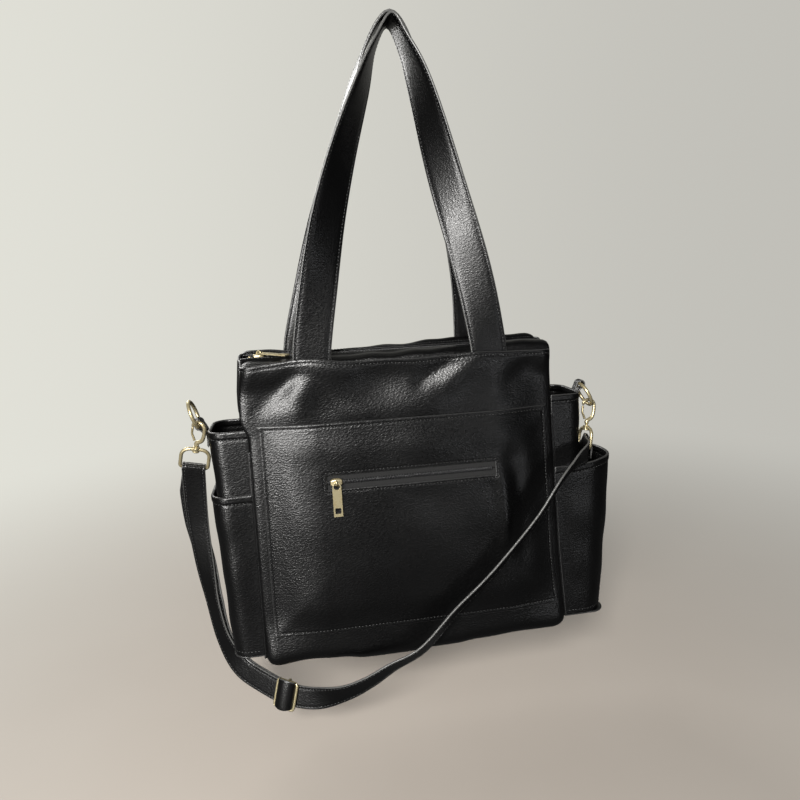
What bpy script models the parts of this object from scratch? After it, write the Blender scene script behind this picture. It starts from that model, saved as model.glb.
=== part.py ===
"""A tote-style diaper bag that hangs by its two handles.

Metres, +Z up. X runs across the bag, +Y is its back, and the camera side is -Y.
The origin is where a hook carries the handles, so the bag lies below z = 0.
Heights in the code are measured up from the underside of the base and turned
into z by at().
"""

import math

import bmesh
import bpy
import numpy as np
from mathutils import Matrix, Vector

for item in list(bpy.data.objects):
    bpy.data.objects.remove(item, do_unlink=True)

# Body
BAG_WIDTH = 0.332
BAG_HEIGHT = 0.324
BASE_DEPTH = 0.134
TOP_DEPTH = 0.078
LEATHER = 0.003
SIDE_ROLL = 0.012
BASE_ROLL = 0.020
SIDE_TUCK_SHARE = 0.6
SEAM_EASE = 0.0015
GAP = 0.0003
LINING_WALL = 0.001
LINING_EASE = 0.0045
BOARD_EASE = 0.003
BOARD_LENGTH = BAG_WIDTH - 2 * (SIDE_TUCK_SHARE * BASE_ROLL + BOARD_EASE)
BOARD_DEPTH = BASE_DEPTH - 2 * (BASE_ROLL + BOARD_EASE)
BOARD_THICKNESS = 0.003

# Handles
HANDLE_DROP = 0.330
HANDLE_WIDTH = 0.040
HANDLE_THICKNESS = 0.0035
HANDLE_INSET = 0.072
HANDLE_SPREAD = BAG_WIDTH - 2 * HANDLE_INSET
HANDLE_ROOT = 0.028
HANDLE_RISE = 0.010
HANDLE_NEST = 0.0065
REAR_LEFT_STRAY = 0.009

# Patch pocket on the front, with its zip
PATCH_INSET = 0.010
PATCH_WIDTH = BAG_WIDTH - 2 * PATCH_INSET
PATCH_HEIGHT = 0.2245
PATCH_LIFT = 0.032
PATCH_LEATHER = 0.002
PATCH_STAND = 0.0035
PATCH_SEAM = 0.008
WINDOW_INSET = 0.065
WINDOW_WIDTH = PATCH_WIDTH - 2 * WINDOW_INSET
WINDOW_HEIGHT = 0.015
WINDOW_LIFT = 0.187

# Side pockets: a tall bottle pocket with a lower slip pocket wrapped round it
POCKET_LEATHER = 0.002
POCKET_LIFT = 0.005
POCKET_CORNER = 0.016
SLIP_HEIGHT = 0.184
LEFT_RIM_HEIGHT = 0.252
LEFT_BOTTLE_TOP = 0.042
LEFT_BOTTLE_BASE = 0.031
LEFT_SLIP_GAPE = 0.003
LEFT_SLIP_BASE = 0.0
RIGHT_RIM_HEIGHT = 0.262
RIGHT_BOTTLE_TOP = 0.040
RIGHT_BOTTLE_BASE = 0.038
RIGHT_SLIP_GAPE = 0.0415
RIGHT_SLIP_BASE = 0.020

# Zips
TAPE_THICKNESS = 0.0008
COIL_WIDTH = 0.0045
COIL_HEIGHT = 0.0021
COIL_INSET = 0.0075
MAIN_COIL_LENGTH = BAG_WIDTH - 2 * COIL_INSET
FLAP_INSET = 0.015
FLAP_LENGTH = BAG_WIDTH - 2 * FLAP_INSET
FLAP_THICKNESS = 0.0015
FLAP_RISE = 0.001
FLAP_OPENING = 0.024
STOP_LENGTH = 0.003
MAIN_SLIDER_INSET = 0.008
POCKET_SLIDER_INSET = 0.012
SLIDER_LENGTH = 0.012
SLIDER_WIDTH = 0.0086
SLIDER_PLATE = 0.0015
BRIDGE_RADIUS = 0.0026
BRIDGE_WIRE = 0.0007
BRIDGE_RISE = 0.0009
PULL_LENGTH = 0.036
PULL_WIDTH = 0.0095
PULL_THICKNESS = 0.0014
PULL_EYE = 0.0033
PULL_BAR = 0.0013
PULL_SLOT = 0.0062
MAIN_PULL_YAW = math.radians(-32)
MAIN_PULL_DROOP = math.radians(3)

# Rings, their tabs and the clasps
RING_RADIUS = 0.0145
WIRE = 0.002
TAB_WIDTH = 0.009
TAB_LEATHER = 0.0018
TAB_TAIL = 0.028
TAB_EYE = 0.0047
RING_SEAT = 0.0008
LEFT_EYE_OUT = 0.011
LEFT_EYE_RISE = 0.003
LEFT_RING_LEAN = math.radians(163)
LEFT_TAB_BACK = 0.0045
LEFT_TAB_SKEW = math.radians(24)
LEFT_HOOK_ANGLE = math.radians(15)
LEFT_HOOK_TURN = math.radians(25)
RIGHT_EYE_OUT = 0.010
RIGHT_EYE_RISE = 0.008
RIGHT_RING_LEAN = math.radians(26)
CLASP_REACH = 0.052
HOOK_BIGHT = 0.0054
HOOK_HALF_WIDTH = 0.007
HOOK_BASE = 0.020
PIN_RADIUS = 0.0015
PIN_PLAY = 0.0004
BARREL_RADIUS = 0.0038
BARREL_HEIGHT = 0.006
LOOP_HEIGHT = 0.0235
GATE_WIRE = 0.0014
GATE_PLAY = 0.0003
GATE_NOSE = 0.0009
GATE_SEAT = math.radians(32)

# Shoulder strap
STRAP_WIDTH = 0.025
STRAP_THICKNESS = 0.0025
STRAP_STEP = 0.012
SEWN_TAIL = 0.012
LAYER_STEP = 0.0036
GLIDE_LENGTH = 0.027
GLIDE_BAR = 0.003
GLIDE_PLATE = 0.0024
GLIDE_PLAY = 0.0008

TOP = BAG_HEIGHT
BASE_Z = -(BAG_HEIGHT + HANDLE_DROP)
HALF_WIDTH = BAG_WIDTH / 2

PARTS = bpy.data.collections.new("diaper_bag")
CUTTERS = bpy.data.collections.new("cutters")
bpy.context.scene.collection.children.link(PARTS)
bpy.context.scene.collection.children.link(CUTTERS)
BLACK = (0.012, 0.012, 0.014)
LINING = (0.05, 0.05, 0.055)
BRASS = (0.62, 0.52, 0.30)
BOARD = (0.30, 0.28, 0.25)


def at(x, y, height):
    """A point given by its height above the underside of the base."""
    return Vector((x, y, height + BASE_Z))


def finish(mesh_or_curve, name, colour, metallic=0.0, roughness=0.5, collection=PARTS):
    """Put data in the scene as one named object with its own material."""
    material = bpy.data.materials.new(name)
    material.use_nodes = True
    shader = material.node_tree.nodes["Principled BSDF"]
    shader.inputs["Base Color"].default_value = (*colour, 1.0)
    shader.inputs["Metallic"].default_value = metallic
    shader.inputs["Roughness"].default_value = roughness
    part = bpy.data.objects.new(name, mesh_or_curve)
    part.data.materials.append(material)
    collection.objects.link(part)
    return part


def brass(data, name):
    return finish(data, name, BRASS, metallic=1.0, roughness=0.3)


def sheet(name, columns, rows, place, thickness, offset=-1.0, colour=BLACK):
    """A grid of columns by rows laid out by place(i, j), then made solid."""
    bm = bmesh.new()
    bmesh.ops.create_grid(bm, x_segments=columns, y_segments=rows, size=1.0)
    for vert in bm.verts:
        i = round((vert.co.x + 1) / 2 * columns)
        j = round((vert.co.y + 1) / 2 * rows)
        vert.co = place(i, j)
    mesh = bpy.data.meshes.new(name)
    bm.to_mesh(mesh)
    bm.free()
    mesh.shade_smooth()
    part = finish(mesh, name, colour)
    solid = part.modifiers.new("thickness", "SOLIDIFY")
    solid.thickness = thickness
    solid.offset = offset
    solid.use_even_offset = True
    return part


def box_mesh(name, low, high):
    """A box between two corners."""
    bm = bmesh.new()
    bmesh.ops.create_cube(bm, size=1.0)
    for vert in bm.verts:
        vert.co = Vector([lo + (hi - lo) * (c + 0.5) for lo, hi, c in zip(low, high, vert.co)])
    mesh = bpy.data.meshes.new(name)
    bm.to_mesh(mesh)
    bm.free()
    return mesh


def box(name, low, high, colour=BLACK):
    return finish(box_mesh(name, low, high), name, colour)


def plate(name, outlines, thickness):
    """A flat outline with holes, in the XY plane, centred on its thickness."""
    curve = bpy.data.curves.new(name, "CURVE")
    curve.dimensions = "2D"
    curve.fill_mode = "BOTH"
    curve.extrude = thickness / 2
    for outline in outlines:
        spline = curve.splines.new("POLY")
        spline.points.add(len(outline) - 1)
        for point, (x, y) in zip(spline.points, outline):
            point.co = (x, y, 0, 1)
        spline.use_cyclic_u = True
    return curve


def tube(name, points, radius, cyclic=False, radii=None):
    """A round wire along points."""
    curve = bpy.data.curves.new(name, "CURVE")
    curve.dimensions = "3D"
    curve.bevel_depth = radius
    curve.bevel_resolution = 2
    curve.use_fill_caps = not cyclic
    spline = curve.splines.new("POLY")
    spline.points.add(len(points) - 1)
    for index, (point, place) in enumerate(zip(spline.points, points)):
        point.co = (*place, 1)
        point.radius = 1.0 if radii is None else radii[index]
    spline.use_cyclic_u = cyclic
    return curve


def meshed(curve, name):
    """The closed mesh of a curve, so that it can be cut or joined."""
    holder = bpy.data.objects.new(name, curve)
    CUTTERS.objects.link(holder)
    graph = bpy.context.evaluated_depsgraph_get()
    mesh = bpy.data.meshes.new_from_object(holder.evaluated_get(graph))
    bpy.data.objects.remove(holder, do_unlink=True)
    bm = bmesh.new()
    bm.from_mesh(mesh)
    bmesh.ops.remove_doubles(bm, verts=bm.verts, dist=0.00001)
    bmesh.ops.recalc_face_normals(bm, faces=bm.faces)
    bm.to_mesh(mesh)
    bm.free()
    return mesh


def combine(part, mesh, operation, matrix):
    """Join a mesh to a part, or cut it from the part, with an exact Boolean."""
    tool = finish(mesh, part.name + "_" + operation.lower(), BLACK, collection=CUTTERS)
    tool.matrix_world = matrix
    tool.hide_render = True
    tool.display_type = "WIRE"
    step = part.modifiers.new(operation.lower(), "BOOLEAN")
    step.operation = operation
    step.object = tool
    step.solver = "EXACT"


def cylinder_mesh(name, radius, length):
    bm = bmesh.new()
    bmesh.ops.create_cone(bm, cap_ends=True, segments=16, radius1=radius, radius2=radius, depth=length)
    mesh = bpy.data.meshes.new(name)
    bm.to_mesh(mesh)
    bm.free()
    return mesh


def torus_mesh(name, radius, wire, around):
    """A ring of round wire in the XY plane."""
    circle = arc((0, 0), radius, 0, 2 * math.pi, around)[:-1]
    return meshed(tube(name, [(x, y, 0) for x, y in circle], wire, cyclic=True), name)


def arc(centre, radius, start, end, steps):
    """Points on a circle from one angle to another, in radians."""
    return [(centre[0] + radius * math.cos(a), centre[1] + radius * math.sin(a))
            for a in np.linspace(start, end, steps + 1)]


def axes(origin, x_axis, y_axis, z_axis):
    """A placement from an origin and three unit axes."""
    matrix = Matrix((x_axis, y_axis, z_axis)).transposed().to_4x4()
    matrix.translation = origin
    return matrix


# Body panels. The front and back roll round at their sides and under the base.

def half_depth(height):
    """Half the bag's depth, which narrows from the base to the top."""
    return (BASE_DEPTH + (TOP_DEPTH - BASE_DEPTH) * height / BAG_HEIGHT) / 2


ROLL_STEPS = 6
SIDE_PROFILE = [(HALF_WIDTH - SIDE_ROLL + SIDE_ROLL * math.sin(a), SIDE_ROLL * (1 - math.cos(a)))
                for a in np.linspace(0, math.pi / 2, ROLL_STEPS + 1)]
ACROSS = [(-x, back) for x, back in reversed(SIDE_PROFILE)] + SIDE_PROFILE
BASE_PROFILE = [(BASE_ROLL * (1 - math.cos(a)), BASE_ROLL * (1 - math.sin(a)))
                for a in np.linspace(0, math.pi / 2, ROLL_STEPS + 1)]
UP = BASE_PROFILE + [(BASE_ROLL + (BAG_HEIGHT - BASE_ROLL) * k / 3, 0.0) for k in (1, 2, 3)]


def base_back(height):
    """How far the base roll has drawn the panel back at a height."""
    return float(np.interp(height, [h for h, _ in UP], [b for _, b in UP]))


def outline_point(x, back, height):
    """Where a point of the plan outline lies at a height: x, and y towards the back.

    The whole outline shrinks where the base roll draws the walls in.
    """
    under = base_back(height)
    depth = half_depth(height)
    return x * (1 - SIDE_TUCK_SHARE * under / HALF_WIDTH), (depth - back) * (1 - under / depth)


def panel(name, side):
    """The front (side -1) or back (side 1) panel, outside first."""
    def place(i, j):
        height = UP[j][0]
        x, y = outline_point(*ACROSS[i], height)
        return at(-side * x, side * y, height)
    return sheet(name, len(ACROSS) - 1, len(UP) - 1, place, LEATHER)


panel("front_panel", -1)
panel("back_panel", 1)


def gusset(name, side):
    """A side wall between the two seams, rolled under at its foot like the panels."""
    def place(i, j):
        height = UP[j][0]
        x, y = outline_point(HALF_WIDTH, SIDE_ROLL, height)
        return at(side * x, side * (y - SEAM_EASE) * (i / 2 - 1), height)
    return sheet(name, 4, len(UP) - 1, place, LEATHER)


gusset("left_gusset", -1)
gusset("right_gusset", 1)


def base_place(i, j):
    """The flat base inside the four rolled edges."""
    x, y = outline_point(*ACROSS[i], 0)
    edge_x = HALF_WIDTH - SIDE_TUCK_SHARE * BASE_ROLL
    return at(x * (1 - SEAM_EASE / edge_x), (y - SEAM_EASE) * (1 - 2 * j), 0)


sheet("base_panel", len(ACROSS) - 1, 1, base_place, LEATHER)

BOARD_TOP = LEATHER + GAP + BOARD_THICKNESS
box("base_board", at(-BOARD_LENGTH / 2, -BOARD_DEPTH / 2, LEATHER + GAP),
    at(BOARD_LENGTH / 2, BOARD_DEPTH / 2, BOARD_TOP), BOARD)


def lining():
    """An open-topped bag of lining cloth, standing on the base board."""
    foot = BOARD_TOP + GAP
    shoulder = BASE_ROLL + LINING_EASE
    mouth = TOP - HANDLE_ROOT - GAP
    low = at(-0.5, -0.5, foot)
    mesh = box_mesh("lining", low, at(0.5, 0.5, mouth))
    bm = bmesh.new()
    bm.from_mesh(mesh)
    level = shoulder + BASE_Z
    bmesh.ops.bisect_plane(bm, geom=bm.verts[:] + bm.edges[:] + bm.faces[:],
                           plane_co=(0, 0, level), plane_no=(0, 0, 1))
    for vert in bm.verts:
        height = vert.co.z - BASE_Z
        foot_level = height < shoulder - GAP
        length = BOARD_LENGTH if foot_level else BAG_WIDTH - 2 * SIDE_ROLL
        depth = BOARD_DEPTH if foot_level else 2 * (half_depth(height) - LINING_EASE)
        vert.co.x = math.copysign(length / 2, vert.co.x)
        vert.co.y = math.copysign(depth / 2, vert.co.y)
    lid = [face for face in bm.faces if face.normal.z > 0.9]
    bmesh.ops.delete(bm, geom=lid, context="FACES_ONLY")
    bm.to_mesh(mesh)
    bm.free()
    part = finish(mesh, "lining", LINING, roughness=0.8)
    wall = part.modifiers.new("thickness", "SOLIDIFY")
    wall.thickness = LINING_WALL
    wall.offset = -1.0
    wall.use_even_offset = True


lining()

# Handles: one strap each, sewn in behind the panel's top edge, twisted a quarter
# turn on the way up so that they lie side by side over the hook.

ROOT_FACE = TOP_DEPTH / 2 - LEATHER - GAP
ROOT_MIDDLE = ROOT_FACE - HANDLE_THICKNESS / 2
HANDLE_LEG = HANDLE_SPREAD / 2


def along(points, step):
    """Stations on a smooth curve through rows of numbers, about step apart."""
    rows = np.array(points, float)
    padded = np.vstack([2 * rows[0] - rows[1], rows, 2 * rows[-1] - rows[-2]])
    stations = []
    for k in range(len(rows) - 1):
        a, b, c, d = padded[k:k + 4]
        count = max(1, round(np.linalg.norm(c[:3] - b[:3]) / step))
        t = (np.arange(count) / count)[:, None]
        stations.append(b + 0.5 * t * (c - a + t * (2 * a - 5 * b + 4 * c - d
                                                   + t * (3 * (b - c) + d - a))))
    return np.vstack(stations + [rows[-1:]])


def ribbon_frames(points, step):
    """Centres, tangents, width directions and normals along a flat strap.

    Each row of points holds a place and the way the strap's width runs there.
    """
    rows = along(points, step)
    centre = rows[:, :3]
    tangent = np.gradient(centre, axis=0)
    tangent /= np.linalg.norm(tangent, axis=1)[:, None]
    width = rows[:, 3:] - (rows[:, 3:] * tangent).sum(1)[:, None] * tangent
    width /= np.linalg.norm(width, axis=1)[:, None]
    return centre, tangent, width, np.cross(width, tangent)


def ribbon(name, centre, width_axis, width, thickness):
    """A flat strap laid along centres, half its thickness to each side."""
    def place(i, j):
        return Vector(centre[j] + (i / 2 - 0.5) * width * width_axis[j])
    part = sheet(name, 2, len(centre) - 1, place, thickness, offset=0.0)
    part.modifiers["thickness"].use_even_offset = False
    return part


HANDLE_STEP = 0.016
FRONT_ROUTE = [
    (-HANDLE_LEG, -ROOT_MIDDLE, TOP + GAP, 1, 0, 0),
    (-HANDLE_LEG, -ROOT_MIDDLE, TOP + HANDLE_RISE, 1, 0, 0),
    (-0.085, -0.031, 0.388, 1, 0.12, 0),
    (-0.070, -0.024, 0.460, 0.9, 0.42, 0),
    (-0.050, -0.0175, 0.528, 0.75, 0.7, 0),
    (-0.026, -0.011, 0.593, 0.45, 0.9, 0),
    (-0.010, -0.006, 0.634, 0.1, 1, 0),
    (0.005, -0.004, TOP + HANDLE_DROP + HANDLE_THICKNESS / 2, 0, 1, 0),
    (0.018, -0.006, 0.634, -0.1, 1, 0),
    (0.033, -0.0115, 0.591, -0.45, 0.9, 0),
    (0.055, -0.020, 0.502, -0.8, 0.6, 0),
    (0.079, -0.0285, 0.410, -0.95, 0.3, 0),
    (HANDLE_LEG, -ROOT_MIDDLE, TOP + HANDLE_RISE, -1, 0, 0),
    (HANDLE_LEG, -ROOT_MIDDLE, TOP + GAP, -1, 0, 0),
]
REAR_ROUTE = [
    (-HANDLE_LEG - REAR_LEFT_STRAY, ROOT_MIDDLE, TOP + GAP, 1, 0, 0),
    (-HANDLE_LEG - REAR_LEFT_STRAY, ROOT_MIDDLE, TOP + HANDLE_RISE, 1, 0, 0),
    (-0.087, 0.031, 0.400, 1, -0.25, 0),
    (-0.066, 0.022, 0.488, 0.68, -0.73, 0),
    (-0.043, 0.015, 0.568, 0.32, -0.95, 0),
    (-0.0225, 0.009, 0.628, 0.05, -1, 0),
    (0.004, 0.004, TOP + HANDLE_DROP + HANDLE_THICKNESS / 2 + HANDLE_NEST, 0, -1, 0),
    (0.030, 0.009, 0.628, -0.1, -1, 0),
    (0.054, 0.017, 0.556, -0.55, -0.85, 0),
    (0.074, 0.0235, 0.475, -0.85, -0.5, 0),
    (0.090, 0.030, 0.398, -1, -0.12, 0),
    (HANDLE_LEG, ROOT_MIDDLE, TOP + HANDLE_RISE, -1, 0, 0),
    (HANDLE_LEG, ROOT_MIDDLE, TOP + GAP, -1, 0, 0),
]


def handle(name, route, side):
    """A handle strap whose origin lies on the panel's top edge, where it bends, and its roots."""
    centre, _, width_axis, _ = ribbon_frames(route, HANDLE_STEP)
    hinge = Vector((0, side * (TOP_DEPTH - LEATHER) / 2, TOP))
    part = ribbon(name, centre - np.array(hinge), width_axis, HANDLE_WIDTH, HANDLE_THICKNESS)
    part.location = at(*hinge)
    for edge, leg in (("left", route[0][0]), ("right", route[-1][0])):
        low_y, high_y = sorted((side * ROOT_FACE, side * (ROOT_FACE - HANDLE_THICKNESS)))
        box(f"{name}_{edge}_root",
            at(leg - HANDLE_WIDTH / 2, low_y, TOP - HANDLE_ROOT),
            at(leg + HANDLE_WIDTH / 2, high_y, TOP))


handle("front_handle", FRONT_ROUTE, -1)
handle("rear_handle", REAR_ROUTE, 1)

# Top closure: a cloth flap from each side, zip tapes, the closed coil and stops.

FLAP_FOOT = ROOT_FACE - HANDLE_THICKNESS - GAP
FLAP_EDGE = FLAP_OPENING / 2
TAPE_SEAT = 0.005
FLAP_PROFILE = [
    (FLAP_FOOT, TOP - HANDLE_ROOT / 2),
    (FLAP_FOOT - 0.002, TOP - FLAP_RISE),
    (FLAP_FOOT - 0.008, TOP + FLAP_RISE / 2),
    (FLAP_EDGE + TAPE_SEAT, TOP + FLAP_RISE),
    (FLAP_EDGE, TOP + FLAP_RISE),
]
TAPE_TOP = TOP + FLAP_RISE - FLAP_THICKNESS - GAP
COIL_FOOT = TAPE_TOP + GAP
TAPE_INNER = 0.0004


def zip_side(word, side):
    """One flap and the zip tape sewn under its inner edge."""
    def place(i, j):
        y, height = FLAP_PROFILE[j]
        return at(-side * FLAP_LENGTH * (i / 6 - 0.5), side * y, height)
    sheet(f"{word}_zip_flap", 6, len(FLAP_PROFILE) - 1, place, FLAP_THICKNESS)
    low_y, high_y = sorted((side * TAPE_INNER, side * (FLAP_EDGE + TAPE_SEAT)))
    box(f"{word}_zip_tape", at(-MAIN_COIL_LENGTH / 2, low_y, TAPE_TOP - TAPE_THICKNESS),
        at(MAIN_COIL_LENGTH / 2, high_y, TAPE_TOP), LINING)


zip_side("front", -1)
zip_side("rear", 1)
box("main_zip_coil", at(-MAIN_COIL_LENGTH / 2, -COIL_WIDTH / 2, COIL_FOOT),
    at(MAIN_COIL_LENGTH / 2, COIL_WIDTH / 2, COIL_FOOT + COIL_HEIGHT), LINING)
for word, sign in (("left", -1), ("right", 1)):
    near = sign * (MAIN_COIL_LENGTH / 2 + GAP)
    far = sign * (MAIN_COIL_LENGTH / 2 + GAP + STOP_LENGTH)
    brass(box_mesh("stop", at(min(near, far), -COIL_WIDTH / 2, TAPE_TOP - TAPE_THICKNESS),
                   at(max(near, far), COIL_WIDTH / 2, COIL_FOOT + COIL_HEIGHT)),
          f"main_zip_{word}_stop")

# Zip sliders and pulls. A slider rides over the coil; its pull hangs on a bridge.
# In a slider's own axes X is its travel and Z points away from the coil's foot.

CHANNEL_WIDTH = COIL_WIDTH + 2 * GAP
SLIDER_TOP = COIL_HEIGHT + GAP + SLIDER_PLATE
PIVOT = SLIDER_TOP + PULL_BAR


def slider(name, matrix, pull_yaw):
    """A slider with its bridge turned the way that its pull lies."""
    half = SLIDER_LENGTH / 2
    part = brass(box_mesh(name, (-half, -SLIDER_WIDTH / 2, 0), (half, SLIDER_WIDTH / 2, SLIDER_TOP)), name)
    part.matrix_world = matrix
    combine(part, box_mesh(name, (-SLIDER_LENGTH, -CHANNEL_WIDTH / 2, -COIL_HEIGHT),
                           (SLIDER_LENGTH, CHANNEL_WIDTH / 2, COIL_HEIGHT + GAP)), "DIFFERENCE", matrix)
    foot = BRIDGE_RISE + SLIDER_PLATE / 2
    arch = [(BRIDGE_RADIUS, -foot)] + arc((0, 0), BRIDGE_RADIUS, 0, math.pi, 8) + [(-BRIDGE_RADIUS, -foot)]
    bridge = meshed(tube(name, [(x, 0, z) for x, z in arch], BRIDGE_WIRE), name)
    place = Matrix.Translation((0, 0, SLIDER_TOP + BRIDGE_RISE)) @ Matrix.Rotation(pull_yaw, 4, "Z")
    combine(part, bridge, "UNION", matrix @ place)
    return part


def pull(name, matrix):
    """A flat pull with a round eye at its origin and a square hole at its tip."""
    eye = PULL_EYE + PULL_BAR / 2
    head = PULL_EYE + PULL_BAR
    tip = PULL_LENGTH
    outline = arc((eye, 0), head, math.pi / 2, 3 * math.pi / 2, 10)
    outline += [(eye + head, -PULL_WIDTH / 2), (tip, -PULL_WIDTH / 2),
                (tip, PULL_WIDTH / 2), (eye + head, PULL_WIDTH / 2)]
    hole = arc((eye, 0), PULL_EYE, 0, 2 * math.pi, 12)[:-1]
    slot = PULL_SLOT / 2
    middle = tip - PULL_SLOT
    square = [(middle - slot, -slot), (middle + slot, -slot), (middle + slot, slot), (middle - slot, slot)]
    part = brass(plate(name, [outline, hole, square], PULL_THICKNESS), name)
    part.matrix_world = matrix
    return part


def pull_place(base, yaw, droop):
    """Where a pull lies: turned by yaw in the slider's plane, tip lowered by droop."""
    return (base @ Matrix.Translation((0, 0, PIVOT)) @ Matrix.Rotation(yaw, 4, "Z")
            @ Matrix.Rotation(droop, 4, "Y"))


MAIN_SLIDER_X = -MAIN_COIL_LENGTH / 2 + MAIN_SLIDER_INSET
main_base = Matrix.Translation(at(MAIN_SLIDER_X, 0, COIL_FOOT))
slider("main_zip_slider", main_base, MAIN_PULL_YAW)
pull("main_zip_pull", pull_place(main_base, MAIN_PULL_YAW, MAIN_PULL_DROOP))

# Patch pocket: it stands off the panel inside its seam, and its window holds the zip.

def front(x, height, out):
    """A point in front of the front panel's outer face by out."""
    back = float(np.interp(abs(x), [p for p, _ in SIDE_PROFILE], [b for _, b in SIDE_PROFILE]))
    return at(x, -(half_depth(height) - back) - out, height)


PATCH_X = [-PATCH_WIDTH / 2, -PATCH_WIDTH / 2 + PATCH_SEAM, -WINDOW_WIDTH / 2,
           WINDOW_WIDTH / 2, PATCH_WIDTH / 2 - PATCH_SEAM, PATCH_WIDTH / 2]
PATCH_TOP = PATCH_LIFT + PATCH_HEIGHT
PATCH_UP = [PATCH_LIFT, PATCH_LIFT + PATCH_SEAM, WINDOW_LIFT, WINDOW_LIFT + WINDOW_HEIGHT,
            PATCH_TOP - PATCH_SEAM, PATCH_TOP]


def patch_place(i, j):
    rim = i in (0, len(PATCH_X) - 1) or j in (0, len(PATCH_UP) - 1)
    return front(PATCH_X[i], PATCH_UP[j], (GAP if rim else PATCH_STAND) + PATCH_LEATHER)


patch = sheet("patch_pocket", len(PATCH_X) - 1, len(PATCH_UP) - 1, patch_place, PATCH_LEATHER)
bm = bmesh.new()
bm.from_mesh(patch.data)
window_middle = front(0, WINDOW_LIFT + WINDOW_HEIGHT / 2, PATCH_STAND + PATCH_LEATHER)
window_face = min(bm.faces, key=lambda face: (face.calc_center_median() - window_middle).length)
bmesh.ops.delete(bm, geom=[window_face], context="FACES_ONLY")
bm.to_mesh(patch.data)
bm.free()

# The zip lies in the slope of the front panel, its tapes just behind the patch.
SLOPE = math.atan2((BASE_DEPTH - TOP_DEPTH) / 2, BAG_HEIGHT)
slope_up = Vector((0, math.sin(SLOPE), math.cos(SLOPE)))
slope_out = Vector((0, -math.cos(SLOPE), math.sin(SLOPE)))
travel = Vector((1, 0, 0))
ZIP_MIDDLE = WINDOW_LIFT + WINDOW_HEIGHT / 2
tape_face = front(0, ZIP_MIDDLE, PATCH_STAND - GAP)
POCKET_TAPE_LENGTH = WINDOW_WIDTH + 2 * PATCH_SEAM
for word, sign in (("upper", 1), ("lower", -1)):
    near, far = sorted((sign * TAPE_INNER, sign * (WINDOW_HEIGHT / 2 + TAPE_SEAT)))
    tape = box(f"{word}_pocket_tape", (-POCKET_TAPE_LENGTH / 2, near, -TAPE_THICKNESS),
               (POCKET_TAPE_LENGTH / 2, far, 0), LINING)
    tape.matrix_world = axes(tape_face, travel, slope_up, slope_out)
pocket_coil_end = WINDOW_WIDTH / 2 - GAP
coil = box("pocket_zip_coil", (-pocket_coil_end, -COIL_WIDTH / 2, GAP),
           (pocket_coil_end, COIL_WIDTH / 2, GAP + COIL_HEIGHT), LINING)
coil.matrix_world = axes(tape_face, travel, slope_up, slope_out)

POCKET_SLIDER_X = -WINDOW_WIDTH / 2 + POCKET_SLIDER_INSET
pocket_base = axes(tape_face + slope_out * GAP + travel * POCKET_SLIDER_X, travel, slope_up, slope_out)
slider("pocket_zip_slider", pocket_base, -math.pi / 2)
pull("pocket_zip_pull", pull_place(pocket_base, -math.pi / 2, 0))

# Side pockets. Each is a wall round three sides, on a shared base.

CORNER_STEPS = 4


def pocket_outline(out, depth, corner):
    """Points round a pocket in plan, front to back: (distance out, y)."""
    front_corner = arc((out - corner, -depth + corner), corner, -math.pi / 2, 0, CORNER_STEPS)
    back_corner = [(o, -y) for o, y in reversed(front_corner)]
    return [(0.0, -depth)] + front_corner + [(out, 0.0)] + back_corner + [(0.0, depth)]


POCKET_FOOT = POCKET_LIFT + POCKET_LEATHER + GAP
POCKET_ROWS = 6


def pocket_depth(height):
    """Half the depth of the side pockets, from seam to seam."""
    return half_depth(height) - SIDE_ROLL


def bottle_out(side, height):
    """How far the bottle pocket stands out from the bag's side."""
    top, base, rim = ((LEFT_BOTTLE_TOP, LEFT_BOTTLE_BASE, LEFT_RIM_HEIGHT) if side < 0 else
                      (RIGHT_BOTTLE_TOP, RIGHT_BOTTLE_BASE, RIGHT_RIM_HEIGHT))
    return base + (top - base) * height / rim


def slip_out(side, height):
    """How far the slip pocket's inside stands out, gaping towards its rim."""
    gape, base = (LEFT_SLIP_GAPE, LEFT_SLIP_BASE) if side < 0 else (RIGHT_SLIP_GAPE, RIGHT_SLIP_BASE)
    share = (height / SLIP_HEIGHT) ** 2
    return bottle_out(side, height) + GAP + base + (gape - base) * share


def wall(name, side, rim, outline_at, thickness, offset):
    """A pocket wall from the pocket's base to a rim height."""
    columns = len(outline_at(0)) - 1

    def place(i, j):
        height = POCKET_FOOT + (rim - POCKET_FOOT) * j / POCKET_ROWS
        out, y = outline_at(height)[i]
        return at(side * (HALF_WIDTH + GAP + out), side * y, height)
    return sheet(name, columns, POCKET_ROWS, place, thickness, offset)


def side_pockets(word, side, rim):
    """The bottle pocket, the slip pocket round it and the base that they share."""
    def bottle(height):
        return pocket_outline(bottle_out(side, height), pocket_depth(height), POCKET_CORNER)

    def slip(height):
        spread = slip_out(side, height) - bottle_out(side, height)
        return pocket_outline(slip_out(side, height), pocket_depth(height) + GAP, POCKET_CORNER + spread / 2)

    wall(f"{word}_bottle_pocket", side, rim, bottle, POCKET_LEATHER, -1.0)
    wall(f"{word}_slip_pocket", side, SLIP_HEIGHT, slip, POCKET_LEATHER, 1.0)
    foot = pocket_outline(slip_out(side, POCKET_FOOT) + POCKET_LEATHER, pocket_depth(POCKET_LIFT), POCKET_CORNER)
    half = len(foot) // 2

    def place(i, j):
        out, y = foot[i] if j == 0 else (foot[i][0], -foot[i][1])
        return at(side * (HALF_WIDTH + GAP + out), -side * y, POCKET_LIFT)
    sheet(f"{word}_pocket_base", half - 1, 1, place, POCKET_LEATHER)


side_pockets("left", -1, LEFT_RIM_HEIGHT)
side_pockets("right", 1, RIGHT_RIM_HEIGHT)

# Rings in folded leather tabs on the pockets' outer walls.

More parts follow.
